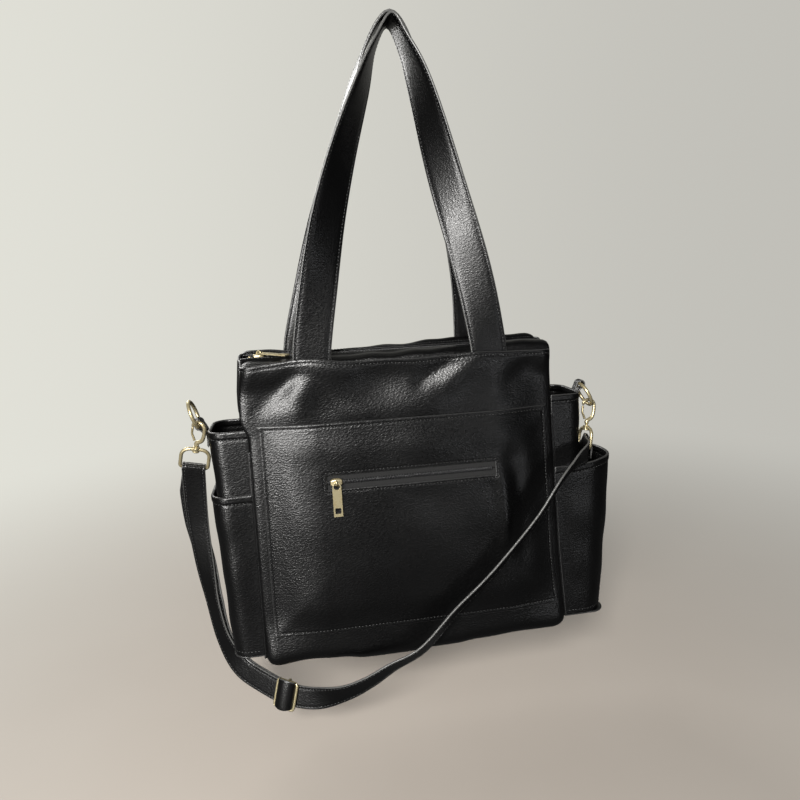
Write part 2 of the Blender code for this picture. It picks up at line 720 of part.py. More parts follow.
def ring_and_tab(word, side, rim, eye_out, eye_rise, lean, tab_y, skew):
    """A tab sewn to the pocket wall and its ring; returns the ring's centre and reach.

    Lean turns the ring away from hanging straight down. Skew tips the tab's eye, so that
    the tab holds the ring that far round from the end of its reach.
    """
    reach = Vector((side * math.sin(lean), 0, -math.cos(lean)))
    wall_x = HALF_WIDTH + GAP + bottle_out(side, rim) + GAP
    first = TAB_LEATHER / 2 + GAP
    second = first + TAB_LEATHER + 2 * GAP
    neck = eye_rise - 2.6 * TAB_EYE
    tail = neck - TAB_TAIL / 2
    path = [(first, tail), (first, neck), ((first + eye_out - TAB_EYE) / 2, eye_rise - TAB_EYE)]
    path += arc((eye_out, eye_rise), TAB_EYE, math.pi, -math.pi / 2, 9)
    path += [((second + eye_out) / 2, eye_rise - 1.9 * TAB_EYE), (second, neck), (second, tail)]

    def place(i, j):
        out, rise = path[j]
        y = side * TAB_WIDTH * (0.5 - i)
        loose = min(max((rise - neck) / (eye_rise - TAB_EYE - neck), 0), 1)
        shear = reach * (y * math.tan(skew) * loose)
        return at(side * (wall_x + out), tab_y + y, rim + rise) + shear
    sheet(f"{word}_ring_tab", 1, len(path) - 1, place, TAB_LEATHER, offset=0.0)
    eye = at(side * (wall_x + eye_out), tab_y, rim + eye_rise)
    radial = reach * math.cos(skew) - Vector((0, math.sin(skew), 0))
    centre = eye + radial * (RING_RADIUS - RING_SEAT)
    normal = reach.cross(Vector((0, 1, 0)))
    ring = brass(torus_mesh(f"{word}_ring", RING_RADIUS, WIRE, 32), f"{word}_ring")
    ring.matrix_world = axes(centre, reach, Vector((0, 1, 0)), normal)
    return centre, reach


left_ring, left_reach = ring_and_tab("left", -1, LEFT_RIM_HEIGHT, LEFT_EYE_OUT, LEFT_EYE_RISE,
                                     LEFT_RING_LEAN, LEFT_TAB_BACK, LEFT_TAB_SKEW)
right_ring, right_reach = ring_and_tab("right", 1, RIGHT_RIM_HEIGHT, RIGHT_EYE_OUT, RIGHT_EYE_RISE,
                                       RIGHT_RING_LEAN, 0.0, 0.0)

# The left clasp hangs low on its ring in front of the tab, the right one at the
# ring's far end. Each is a hook, a sprung gate and a swivelling loop for the strap.

left_hang = left_ring - RING_RADIUS * (left_reach * math.cos(LEFT_HOOK_ANGLE)
                                       + Vector((0, math.sin(LEFT_HOOK_ANGLE), 0)))
right_hang = right_ring + right_reach * RING_RADIUS


def clasp(word, hang, down, loop_across, turn):
    """One clasp, hung at a point on its ring; returns the loop's bar and axes."""
    down = Vector(down).normalized()
    side_axis = (Vector((1, 0, 0)) - down * down.x).normalized()
    side_axis.rotate(Matrix.Rotation(turn, 3, down))
    hook_frame = axes(hang, side_axis, down, side_axis.cross(down))
    half = HOOK_HALF_WIDTH
    barrel = CLASP_REACH - LOOP_HEIGHT
    pin_end = barrel + BARREL_HEIGHT / 2
    neck = barrel - BARREL_HEIGHT / 2 - GAP
    line = [(0, pin_end), (0, neck + GAP), (0, neck - GAP), (0, HOOK_BASE)]
    line += [(half * 0.75, HOOK_BASE * 0.78), (half, HOOK_BASE * 0.45)]
    line += arc((0, half - HOOK_BIGHT), half, 0, -math.pi, 10)
    pin_share = PIN_RADIUS / WIRE
    radii = [pin_share, pin_share] + [1.0] * (len(line) - 2)
    hook = brass(tube("hook", [(p, q, 0) for p, q in line], WIRE, radii=radii), f"{word}_hook")
    hook.matrix_world = hook_frame

    gate_top = half - HOOK_BIGHT + GATE_NOSE
    reach = WIRE + GATE_WIRE + GATE_PLAY
    pivot = (-reach * math.cos(GATE_SEAT), HOOK_BASE - reach * math.sin(GATE_SEAT))
    gate_line = [(-half - pivot[0], gate_top - pivot[1]),
                 (-half - pivot[0], (gate_top - pivot[1]) / 2), (0, 0)]
    gate = brass(tube("gate", [(p, q, 0) for p, q in gate_line], GATE_WIRE), f"{word}_gate")
    gate.matrix_world = hook_frame @ Matrix.Translation((pivot[0], pivot[1], 0))

    across = (Vector(loop_across) - down * down.dot(Vector(loop_across))).normalized()
    loop_frame = axes(hang + down * barrel, across, down, across.cross(down))
    wide = STRAP_WIDTH / 2 + WIRE + GAP
    top_corner = wide * 0.62
    low_corner = WIRE * 1.5
    outline = arc((wide - top_corner, top_corner), top_corner, -math.pi / 2, 0, 5)
    outline += arc((wide - low_corner, LOOP_HEIGHT - low_corner), low_corner, 0, math.pi / 2, 3)
    outline += [(-p, q) for p, q in reversed(outline)]
    loop = brass(meshed(tube("loop", [(p, q, 0) for p, q in outline], WIRE, cyclic=True), "loop"),
                 f"{word}_strap_loop")
    loop.matrix_world = loop_frame
    upright = loop_frame @ Matrix.Rotation(math.pi / 2, 4, "X")
    combine(loop, cylinder_mesh("barrel", BARREL_RADIUS, BARREL_HEIGHT), "UNION", upright)
    combine(loop, cylinder_mesh("bore", PIN_RADIUS + PIN_PLAY, 2 * BARREL_HEIGHT), "DIFFERENCE", upright)
    return hang + down * CLASP_REACH, down, across


LEFT_CLASP_DOWN = (-0.0118, 0.0145, -0.0461)
RIGHT_CLASP_DOWN = (-0.0105, -0.0100, -0.0552)
left_bar, left_down, left_across = clasp("left", left_hang, LEFT_CLASP_DOWN, (1, 0, 0), LEFT_HOOK_TURN)
right_bar, right_down, right_across = clasp("right", right_hang, RIGHT_CLASP_DOWN, (0, 1, 0), 0.0)

# Shoulder strap. From the right clasp it crosses the front, passes the slider and
# climbs outside the left pocket to the left clasp, then returns behind itself.

STRAP_ROUTE = [
    (0.2138, -0.0115, 0.2025, 0.30, -0.45, 0.80),
    (0.2120, -0.0260, 0.2005, 0.05, -0.15, 1.00),
    (0.2060, -0.0460, 0.2000, 0.00, -0.20, 0.98),
    (0.1900, -0.0580, 0.1965, -0.10, -0.50, 0.85),
    (0.1775, -0.0660, 0.1904, -0.18, -0.69, 0.70),
    (0.1603, -0.0750, 0.1770, -0.31, -0.77, 0.55),
    (0.1358, -0.0810, 0.1458, -0.42, -0.80, 0.44),
    (0.1076, -0.0825, 0.1132, -0.45, -0.78, 0.43),
    (0.0766, -0.0835, 0.0804, -0.44, -0.76, 0.48),
    (0.0422, -0.0850, 0.0500, -0.45, -0.74, 0.50),
    (0.0022, -0.0860, 0.0089, -0.45, -0.68, 0.58),
    (-0.0334, -0.0850, -0.0089, -0.43, -0.58, 0.69),
    (-0.0587, -0.0810, -0.0255, -0.52, -0.44, 0.73),
    (-0.0849, -0.0740, -0.0394, -0.44, -0.23, 0.87),
    (-0.1166, -0.0630, -0.0485, 0.05, 0.15, 0.97),
    (-0.1479, -0.0480, -0.0485, 0.20, 0.20, 0.95),
    (-0.1758, -0.0300, -0.0410, 0.20, 0.20, 0.95),
    (-0.2000, -0.0130, -0.0285, 0.55, -0.10, 0.80),
    (-0.2175, 0.0000, 0.0010, 0.62, -0.58, 0.48),
    (-0.2265, 0.0080, 0.0451, 0.68, -0.70, 0.15),
    (-0.2310, 0.0120, 0.0876, 0.85, -0.45, 0.05),
    (-0.2340, 0.0140, 0.1420, 0.95, -0.25, 0.00),
]
GLIDE_ROW = 15
WRAP = WIRE + 2 * GAP + STRAP_THICKNESS / 2
SPREAD_STATIONS = 5


def lift(point):
    """A place turned back from z into a height above the base."""
    return Vector((point.x, point.y, point.z - BASE_Z))


def wrap_rows(bar, down, across, start, end, steps, way=1):
    """Route rows round a loop's bar; angle 0 is behind it and a quarter turn its top.

    The strap's width runs along the bar, or against it where way is -1.
    """
    behind = across.cross(down)
    rows = []
    for angle in np.linspace(start, end, steps + 1):
        place = lift(bar) + WRAP * (behind * math.cos(angle) - down * math.sin(angle))
        rows.append((*place, *(way * across)))
    return rows


quarter = math.pi / 2
right_rows = wrap_rows(right_bar, right_down, right_across, 2 * quarter, quarter, 4, way=-1)
tail_end = Vector(right_rows[0][:3]) + right_down * SEWN_TAIL
left_rows = wrap_rows(left_bar, left_down, left_across, 2 * quarter, quarter, 4)
run = [(*tail_end, *-right_across)] + right_rows + STRAP_ROUTE + left_rows
centre, tangent, width_axis, normal = ribbon_frames(run, STRAP_STEP)
crown_clear = len(centre) - 1
ribbon("shoulder_strap", centre[:crown_clear] + np.array(at(0, 0, 0)), width_axis[:crown_clear],
       STRAP_WIDTH, STRAP_THICKNESS)

# The return lies one layer behind the run, from the left loop to the slider. It strays
# out past the run's edge under the loop, and the other way lower down.
RETURN_STRAY = [(0.000, 0.0), (0.045, 0.003), (0.090, 0.0), (0.135, -0.005), (0.175, -0.006), (0.202, 0.0)]
glide = int(np.argmin(np.linalg.norm(centre - np.array(STRAP_ROUTE[GLIDE_ROW][:3]), axis=1)))
loop_start = int(np.argmin(np.linalg.norm(centre - np.array(left_rows[0][:3]), axis=1)))
stations = np.arange(glide, loop_start)
spread = np.clip((stations - loop_start + SPREAD_STATIONS) / SPREAD_STATIONS, 0, 1) ** 2
layer = LAYER_STEP + (2 * WRAP - LAYER_STEP) * spread
stray = np.interp(centre[stations, 2], [h for h, _ in RETURN_STRAY], [shift for _, shift in RETURN_STRAY])
back_centre = centre[stations] - layer[:, None] * normal[stations] + stray[:, None] * width_axis[stations]
back_centre[0] += tangent[glide] * (GLIDE_BAR / 2 + GLIDE_PLAY)
back_wrap = np.array(wrap_rows(left_bar, left_down, left_across, 0, quarter, 4)[:-1])
back_centre = np.vstack([back_centre, back_wrap[:, :3]])
back_width = np.vstack([width_axis[stations], back_wrap[:, 3:]])
ribbon("strap_return", back_centre + np.array(at(0, 0, 0)), back_width, STRAP_WIDTH, STRAP_THICKNESS)

# The slider: a frame in front of the strap and a bar behind it that holds the return.
inner = STRAP_WIDTH / 2 + GLIDE_PLAY
outer = inner + GLIDE_BAR
half_length = GLIDE_LENGTH / 2
face = STRAP_THICKNESS / 2 + GLIDE_PLAY
frame_outline = [(-outer, -half_length), (outer, -half_length), (outer, half_length), (-outer, half_length)]
open_length = half_length - GLIDE_BAR
frame_hole = [(-inner, -open_length), (inner, -open_length), (inner, open_length), (-inner, open_length)]
glide_part = brass(meshed(plate("frame", [frame_outline, frame_hole], GLIDE_PLATE), "frame"), "strap_slider")
spot = Vector(centre[glide]) + at(0, 0, 0)
run_axis, wide_axis, out_axis = Vector(tangent[glide]), Vector(width_axis[glide]), Vector(normal[glide])
glide_part.matrix_world = axes(spot + out_axis * (face + GLIDE_PLATE / 2), wide_axis, run_axis, out_axis)
level = face + GLIDE_PLATE / 2
bracket = [(-outer, level), (-outer, -face - GLIDE_PLATE), (outer, -face - GLIDE_PLATE), (outer, level),
           (inner, level), (inner, -face), (-inner, -face), (-inner, level)]
combine(glide_part, meshed(plate("bar", [bracket], GLIDE_BAR), "bar"), "UNION",
        axes(spot, wide_axis, out_axis, -run_axis))
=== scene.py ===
import bpy
import numpy as np
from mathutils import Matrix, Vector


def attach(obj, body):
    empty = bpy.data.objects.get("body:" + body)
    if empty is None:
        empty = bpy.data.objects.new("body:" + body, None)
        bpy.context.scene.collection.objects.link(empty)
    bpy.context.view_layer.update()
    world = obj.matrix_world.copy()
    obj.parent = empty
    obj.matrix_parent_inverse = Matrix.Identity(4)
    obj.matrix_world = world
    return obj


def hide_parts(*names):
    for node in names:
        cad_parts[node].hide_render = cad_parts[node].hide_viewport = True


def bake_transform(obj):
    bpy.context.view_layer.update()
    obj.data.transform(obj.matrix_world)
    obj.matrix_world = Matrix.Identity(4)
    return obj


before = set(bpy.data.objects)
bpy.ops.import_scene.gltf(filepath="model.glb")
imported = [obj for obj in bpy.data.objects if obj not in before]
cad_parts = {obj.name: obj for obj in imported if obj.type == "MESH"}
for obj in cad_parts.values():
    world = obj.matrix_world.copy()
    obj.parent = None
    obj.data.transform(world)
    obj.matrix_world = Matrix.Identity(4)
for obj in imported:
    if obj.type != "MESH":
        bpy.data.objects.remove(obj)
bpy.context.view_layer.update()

# Base board: a grey stiffener that lies loose in the bottom of the bag, under the
# lining. It is cut from pressed fibre board, and its edges are rubbed round.

BASE_Z = -0.654
BOARD_LENGTH, BOARD_DEPTH, BOARD_THICKNESS, BOARD_HEIGHT = 0.302, 0.088, 0.003, 0.0048
HEM_REACH = 0.009


class Shade:
    """One socket of a node tree. Arithmetic on it adds a Math node and gives that node's socket."""

    def __init__(self, tree, socket=None):
        self.tree = tree
        self.socket = socket

    def add(self, kind, inputs=None, out=0, **settings):
        """A new node: its settings go in first, then a value or a link for each named socket."""
        node = self.tree.nodes.new("ShaderNode" + kind)
        for key, value in settings.items():
            setattr(node, key, value)
        for key, value in (inputs or {}).items():
            socket = node.inputs[key]
            if isinstance(value, Shade):
                self.tree.links.new(value.socket, socket)
            else:
                socket.default_value = (*value, 1.0) if socket.type == "RGBA" else value
        return Shade(self.tree, node.outputs[out] if node.outputs else None)

    def other(self, out):
        """Another socket of the same node."""
        return Shade(self.tree, self.socket.node.outputs[out])

    def maths(self, operation, *values):
        return self.add("Math", dict(enumerate(values)), operation=operation)

    def __add__(self, value):
        return self.maths("ADD", self, value)

    __radd__ = __add__

    def __mul__(self, value):
        return self.maths("MULTIPLY", self, value)

    def __sub__(self, value):
        return self.maths("SUBTRACT", self, value)

    def __rsub__(self, value):
        return self.maths("SUBTRACT", value, self)

    def vector(self, operation, *values, out=0):
        return self.add("VectorMath", dict(enumerate((self, *values))), out, operation=operation)

    def stretched(self, scale, turn=(0.0, 0.0, 0.0)):
        """This place, turned and drawn out."""
        return self.add("Mapping", {"Vector": self, "Rotation": turn, "Scale": scale})

    def noise(self, scale, detail=2.0, out=0):
        return self.add("TexNoise", {"Vector": self, "Scale": scale, "Detail": detail}, out)

    def wave(self, scale, stray, way):
        return self.add("TexWave", {"Vector": self, "Scale": scale, "Distortion": stray}, bands_direction=way)

    def ramp(self, low, high):
        """A smooth step from 0 at low to 1 at high."""
        return self.add("MapRange", {"Value": self, "From Min": low, "From Max": high},
                        interpolation_type="SMOOTHSTEP")

    def between(self, first, second):
        """A colour mixed from the first, where this is 0, to the second, where it is 1."""
        return self.add("Mix", {0: self, 6: first, 7: second}, out=2, data_type="RGBA")

    def bump(self, strength, distance):
        """A normal tipped by this height."""
        return self.add("Bump", {"Strength": strength, "Distance": distance, "Height": self})

    def surface(self, inputs):
        """The finished shader, and the material's output."""
        self.add("OutputMaterial", {"Surface": self.add("BsdfPrincipled", inputs)})


def finish(name):
    """A new material, and the place on its piece from which its textures start."""
    material = bpy.data.materials.new(name)
    material.use_nodes = True
    material.node_tree.nodes.clear()
    return material, Shade(material.node_tree).add("TexCoord", out="Object")


def fibre_board():
    """Pressed fibre: grey-brown, flecked by stretched noise, with a dull rough face."""
    material, place = finish("fibre_board")
    fleck = place.stretched((0.3, 1.0, 1.0)).noise(900.0, 4.0)
    tone = (fleck * 0.7 + place.noise(35.0) * 0.3).ramp(0.3, 0.7)
    place.surface({"Base Color": tone.between((0.20, 0.18, 0.16), (0.33, 0.30, 0.26)),
                   "Roughness": 0.75 + fleck * 0.2, "Normal": fleck.bump(0.4, 0.0003)})
    return material


def spaced(length, bend, fine, step):
    """Places from 0 to length: some round each edge of radius bend, fine ones over the hem, then steps."""
    lip = bend * (1 - np.cos(np.radians([0.0, 30.0, 60.0])))
    hem_end = min(HEM_REACH, 0.4 * length)
    hem = np.linspace(bend, hem_end, max(2, round((hem_end - bend) / fine)), endpoint=False)
    side = np.concatenate([lip, hem])
    middle = np.linspace(hem_end, length - hem_end, max(2, round((length - 2 * hem_end) / step) + 1))
    return np.concatenate([side, middle, length - side[::-1]])


def centred(length, *spacing):
    """The same places, counted from the middle."""
    return spaced(length, *spacing) - length / 2


def edge_distance(across, up):
    """How far each point of a grid is from the grid's border."""
    return np.minimum(np.minimum(across - across[0], across[-1] - across)[None, :],
                      np.minimum(up - up[0], up[-1] - up)[:, None])


def joined(x, y, z):
    """Points from their three coordinates, each a number, a row, a column or a whole grid."""
    return np.stack(np.broadcast_arrays(x, y, z), -1)


def quads(grid):
    """The corners of each cell of a grid of point numbers, anticlockwise as seen from outside."""
    return np.stack([grid[:-1, :-1], grid[:-1, 1:], grid[1:, 1:], grid[1:, :-1]], -1).reshape(-1, 4)


def unit(vectors):
    return vectors / np.linalg.norm(vectors, axis=-1, keepdims=True)


def facing(surface):
    """Unit normals of a grid of points: the way across crossed with the way up."""
    return unit(np.cross(np.gradient(surface, axis=1), np.gradient(surface, axis=0)))


class Sheet:
    """A closed sheet about a middle surface.

    Each face lies half a thickness from the middle. Near the border the half thickness falls to
    nothing as a quarter circle does, so both faces meet there in a round edge. A sheet with a
    window also has each point's distance from it, and the cells of the grid that are left.
    """

    def __init__(self, middle, across, up, half, window=np.inf, cells=None):
        to_edge = np.minimum(edge_distance(across, up), window)
        if cells is None:
            cells = np.ones((len(up) - 1, len(across) - 1), bool)
        ringed = np.pad(cells, 1)
        inside = ringed[:-1, :-1] & ringed[:-1, 1:] & ringed[1:, :-1] & ringed[1:, 1:]
        half = np.broadcast_to(half, to_edge.shape)
        share = np.clip(to_edge / half, 0, 1)
        self.normal = facing(middle)
        shift = self.normal * (half * np.sqrt(1 - (1 - share) ** 2))[..., None]
        self.outer = middle + shift
        self.inner = middle - shift
        front = np.arange(to_edge.size).reshape(to_edge.shape)
        back = front.copy()
        back[inside] = to_edge.size + np.arange(inside.sum())
        points = np.concatenate([self.outer.reshape(-1, 3), self.inner[inside]])
        faces = np.concatenate([quads(front)[cells.ravel()], quads(back)[cells.ravel()][:, ::-1]])
        used = np.zeros(len(points), int)
        used[faces] = 1
        rim = np.concatenate([1 - share.ravel(), 1 - share[inside]])
        self.solid = points[used > 0], (np.cumsum(used) - 1)[faces], rim[used > 0]


def piece(name, solids, look, body=None, *nodes):
    """One object made of several (points, quads), with its look's material, riding on a body. The look's slot
    is not used.

    It stands for the named nodes. A sheet also says how near each point is to its rim, from 0 to 1.
    """
    material, slot = look
    first = np.cumsum([0] + [len(solid[0]) for solid in solids])
    points = np.concatenate([solid[0] for solid in solids])
    faces = np.concatenate([solid[1] + start for solid, start in zip(solids, first)])
    rim = np.concatenate([solid[2] if len(solid) > 2 else np.zeros(len(solid[0])) for solid in solids])
    mesh = bpy.data.meshes.new(name)
    mesh.vertices.add(len(points))
    mesh.vertices.foreach_set("co", points.astype(np.float32).ravel())
    mesh.loops.add(faces.size)
    mesh.loops.foreach_set("vertex_index", faces.astype(np.int32).ravel())
    mesh.polygons.add(len(faces))
    mesh.polygons.foreach_set("loop_start", np.arange(0, faces.size, 4, dtype=np.int32))
    mesh.update(calc_edges=True)
    mesh.validate()
    mesh.attributes.new("rim", "FLOAT", "POINT").data.foreach_set("value", rim.astype(np.float32))
    mesh.shade_smooth()
    mesh.materials.append(material)
    made = bpy.data.objects.new(name, mesh)
    bpy.context.scene.collection.objects.link(made)
    if body:
        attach(made, body)
    if nodes:
        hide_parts(*nodes)
    return made


across = centred(BOARD_LENGTH, BOARD_THICKNESS / 2, 0.002, 0.012)
up = centred(BOARD_DEPTH, BOARD_THICKNESS / 2, 0.002, 0.012)
board = Sheet(joined(across, up[:, None], BOARD_HEIGHT + BASE_Z), across, up, BOARD_THICKNESS / 2)
piece("base_stiffener", [board.solid], (fibre_board(), "base_board"), "bag", "base_board")

# Base: a rectangle of pebbled leather, sewn to the walls inside the rolled edge. It
# sags a little between the corners because the bag hangs and nothing holds it up.

BAG_WIDTH, BAG_HEIGHT = 0.332, 0.324
HALF_WIDTH = BAG_WIDTH / 2
BASE_DEPTH, TOP_DEPTH = 0.134, 0.078
SIDE_ROLL, FOOT_ROLL, SIDE_TUCK = 0.012, 0.020, 0.6
FLAT_HALF = HALF_WIDTH - SIDE_ROLL
LEATHER, SEAM_EASE, WALL_ROUNDING = 0.003, 0.0015, 0.0088
TOP_SAG = (
    [-0.168, -0.137, -0.110, -0.090, -0.066, -0.025, 0.018, 0.051, 0.084, 0.123, 0.161],
    [-0.006, -0.003, 0.0002, 0.0004, -0.0055, -0.0045, -0.006, -0.0045, -0.003, -0.0045, -0.005])
FOOT_SAG = (
    [-0.160, -0.145, -0.120, -0.090, -0.050, -0.020, 0.030, 0.080, 0.110, 0.140, 0.160],
    [-0.0125, -0.0075, -0.0065, -0.0095, -0.014, -0.014, -0.012, -0.0095, -0.007, -0.0075, -0.0075])
RIGHT_SPILL = [0, 0.02, 0.09, 0.17, 0.24, 0.33], [0.0115, 0.0105, 0.0058, 0.0030, 0.0012, 0]
LEFT_SWELL = [0.250, 0.268, 0.290, 0.324], [0, 0.0080, 0.0072, 0.0036]


def pebbled(name, tone, pebble, dull, depth, edge):
    """Pebbled leather.

    Each pebble is a dome that rises with the distance from the crease round it. The pebbles are
    drawn out along a slant, and noise moves the places about, so that they differ. Creases are
    duller and painted darker, as painted shade, and broad clouds of noise make some parts better
    rubbed, and lighter, than others. The cut edges, which the rim attribute marks, are painted
    paler: partly their own edge colour, partly a painted highlight where the round edges catch the light.
    """
    material, place = finish(name)
    slant = place.stretched((0.55, 1.0, 1.0), (0.4, 0.62, 0.5))
    moved = slant.noise(0.5 / pebble, out="Color").vector("MULTIPLY_ADD", (pebble, pebble, pebble), slant)
    cell = place.add("TexVoronoi", {"Vector": moved, "Scale": 1 / pebble}, feature="SMOOTH_F1")
    dome = 1 - cell.ramp(0.10, 0.75)
    fine = place.noise(2.2 / pebble, 3.0)
    rubbed = place.noise(14.0, 3.0).ramp(0.35, 0.70)
    # The rim marks the round edges. Their colour is painted paler: partly the cut edge's own colour, partly a
    # painted highlight where the edge catches the light.
    rim = place.add("Attribute", out="Fac", attribute_name="rim").ramp(0.25, 0.65)
    # Painted shade: the colour falls to half tone in the creases between the domes; the rubbed clouds, which
    # are wear, lift it.
    face = (dome * 0.7 + rubbed * 0.3).between([0.5 * part for part in tone], tone)
    place.surface({
        "Base Color": rim.between(face, edge),
        "Roughness": (dull + 0.10) - dome * 0.08 - rubbed * 0.05 + fine * 0.05,
        "Specular IOR Level": 0.50,
        "Normal": (dome + fine * 0.2).bump(depth, 0.22 * pebble),
    })
    return material


# The last colour is for the cut edges: partly their own colour, partly a painted highlight on the round
# edges.
bag_leather = (pebbled("bag_leather", (0.0012, 0.0012, 0.0013), 0.0013, 0.26, 0.44, (0.030, 0.030, 0.030)),
               "body_leather")


def ease(share):
    """A smooth step from 0 to 1."""
    share = np.clip(share, 0, 1)
    return share * share * (3 - 2 * share)


def soft_curve(place, knots, values, width=0.020):
    """A smooth curve near values at knots: their mean, weighted by a bell round each knot."""
    weight = np.exp(-((place[..., None] - np.array(knots)) / width) ** 2)
    return (weight * np.array(values)).sum(-1) / weight.sum(-1)


def half_depth(height):
    """Half the bag's depth, which narrows evenly from the base to the top."""
    return (BASE_DEPTH + (TOP_DEPTH - BASE_DEPTH) * height / BAG_HEIGHT) / 2


def settle(points):
    """How the hung bag gives.

    The top edges are drawn up at the handle roots and dip between them, the base sags, the walls
    round off towards their sides, and the right side spills out low down. Each part of the shift is
    a smooth curve across the bag times a share that fades where other pieces hold it.
    """
    x, y, height = points[..., 0], points[..., 1], points[..., 2] - BASE_Z
    share = ease(height / BAG_HEIGHT)
    away = 1 - ease((np.abs(x) - HALF_WIDTH - 0.003) / 0.025)
    top_share = ease((np.abs(y) - 0.013) / 0.018) * (1 - ease((height - BAG_HEIGHT) / 0.070))
    spill = np.interp(height, *RIGHT_SPILL) * ease((x - 0.02) / 0.15)
    swell = np.interp(height, *LEFT_SWELL) * ease((-x - 0.08) / 0.08)
    flank = np.clip((np.abs(y) - half_depth(height) + SIDE_ROLL) / SIDE_ROLL, 0, 1)
    rounding = WALL_ROUNDING * ease((np.abs(x) - 0.095) / 0.064)
    rounding = rounding * ease(height / 0.06) * (1 - ease((height - 0.292) / 0.028))
    sag = share * soft_curve(x, *TOP_SAG) * top_share + (1 - share) * soft_curve(x, *FOOT_SAG)
    return points + joined(spill - swell, -np.sign(y) * rounding * flank, sag) * away[..., None]


def base_leather():
    """The flat base inside the rolled edges."""
    across = centred(2 * (HALF_WIDTH - SIDE_TUCK * FOOT_ROLL - SEAM_EASE), LEATHER / 2, 0.002, 0.008)
    up = centred(BASE_DEPTH - 2 * (FOOT_ROLL + SEAM_EASE), LEATHER / 2, 0.002, 0.008)
    return Sheet(settle(joined(across, -up[:, None], LEATHER / 2 + BASE_Z)), across, up, LEATHER / 2)


piece("base_leather", [base_leather().solid], bag_leather, "bag", "base_panel")

# Front and back: two large panels of the same leather. Each rolls round the sides and
# under the base, and has its top edge turned in and topstitched.

TOP_STITCH, PATCH_TOP, WALL_WAVE = 0.0045, 0.2565, 0.0006
CLIMB = FOOT_ROLL * np.pi / 2 + BAG_HEIGHT - FOOT_ROLL
FRONT_FOLDS = [
    ((-0.166, 0.266), (-0.114, 0.306), 0.011, -0.0048),
    ((-0.112, 0.250), (-0.110, 0.300), 0.013, 0.0030),
    ((-0.100, 0.318), (-0.060, 0.316), 0.008, 0.0022),
    ((-0.020, 0.300), (0.030, 0.322), 0.030, -0.0030),
    ((0.020, 0.300), (0.046, 0.318), 0.008, -0.0022),
    ((0.052, 0.296), (0.080, 0.318), 0.010, 0.0024),
    ((0.118, 0.285), (0.146, 0.318), 0.014, -0.0020),
    ((-0.050, 0.272), (0.020, 0.268), 0.018, 0.0014),
]
BACK_FOLDS = [
    ((-0.130, 0.250), (-0.090, 0.310), 0.014, -0.0030),
    ((0.080, 0.310), (0.125, 0.235), 0.016, -0.0034),
    ((-0.030, 0.300), (0.040, 0.318), 0.026, -0.0028),
    ((-0.100, 0.120), (0.100, 0.130), 0.070, 0.0034),
    ((-0.140, 0.060), (-0.105, 0.110), 0.014, -0.0020),
]
thread, place = finish("waxed_thread")
twist = place.wave(900.0, 1.0, "DIAGONAL")
place.surface({"Base Color": twist.between((0.004, 0.004, 0.004), (0.016, 0.016, 0.016)),
               "Roughness": 0.34 + twist * 0.12})
body_thread = thread, "body_leather"


def loft_quads(count, around, closed=False):
    """The faces of a solid carried through rings of points.

    The ring's points run anticlockwise as seen from the last ring. Open ends are filled by a ladder
    of faces from one side of the ring to the other.
    """
    number = np.arange(count * around).reshape(count, around)
    number = np.concatenate([number, number[:, :1]], axis=1)
    if closed:
        return quads(np.concatenate([number, number[:1]], axis=0))
    rung = np.arange(around // 2 - 1)
    ladder = np.stack([rung, rung + 1, around - 2 - rung, around - 1 - rung], -1)
    return np.concatenate([quads(number), ladder[:, ::-1], ladder + (count - 1) * around])


def measured(path):
    """How far along a path each of its points lies."""
    return np.concatenate([[0], np.cumsum(np.linalg.norm(np.diff(path, axis=0), axis=1))])


def nearest(places, wanted):
    return np.argmin(np.abs(places - wanted))


def square(way, ahead):
    """A direction made square to another one."""
    return unit(way - (way * ahead).sum(-1, keepdims=True) * ahead)


def bars(spots, ahead, out, reach, rise, wide, tall):
    """Six-sided bars, one at each spot.

    Each has four rings, given by how far ahead and how far out they lie, and how wide and tall
    they are.
    """
    angle = np.arange(6) * np.pi / 3
    reach, rise, wide, tall = (np.array(part)[:, None] for part in (reach, rise, wide, tall))
    bar = joined(reach, rise + tall * np.cos(angle), wide * np.sin(angle))
    axes = np.stack([ahead, out, np.cross(ahead, out)], 1)
    points = spots[:, None, None] + np.einsum("rac,nck->nrak", bar, axes)
    faces = loft_quads(4, 6) + 24 * np.arange(len(spots))[:, None, None]
    return points.reshape(-1, 3), faces.reshape(-1, 4)


def stitches(path, normal, pitch=0.0038, length=0.0030, thick=0.00042):
    """A row of stitches along a path on a face: a bar every pitch, whose ends dip into the leather."""
    run = measured(path)
    count = max(1, round(run[-1] / pitch))
    spot = (np.arange(count) + 0.5) * run[-1] / count

    def at(rows, place):
        return np.stack([np.interp(place, run, column) for column in rows.T], -1)

    ahead = unit(at(path, spot + pitch / 3) - at(path, spot - pitch / 3))
    girth = thick * np.array([0.5, 1.0, 1.0, 0.5])
    return bars(at(path, spot), ahead, square(at(normal, spot), ahead),
                length / 2 * np.array([-1.0, -0.6, 0.6, 1.0]), thick * np.array([-0.9, 0.25, 0.25, -0.9]),
                1.25 * girth, girth)


def sewn(sheet, rows, columns, *size, back=False):
    """Stitches along a row or a column of a sheet, on its outer face or its back."""
    face, way = (sheet.inner, -sheet.normal) if back else (sheet.outer, sheet.normal)
    return stitches(face[rows, columns], way[rows, columns], *size)


def groove(to_edge, place, depth=0.00035):
    """How far a row of stitches pulls the leather in, at a place in from the edge."""
    return depth * np.exp(-((to_edge - place) / 0.0009) ** 2)


def fold(x, height, start, end, width, lift):
    """How far a fold stands out: a bell across the line from start to end, dying away past its ends."""
    run, rise = end[0] - start[0], end[1] - start[1]
    length = np.hypot(run, rise)
    along = ((x - start[0]) * run + (height - start[1]) * rise) / length
    off = ((x - start[0]) * rise - (height - start[1]) * run) / length
    past = np.maximum(np.abs(along - length / 2) - length / 2, 0)
    return lift * np.exp(-(off / width) ** 2 - (past / (1.4 * width)) ** 2)


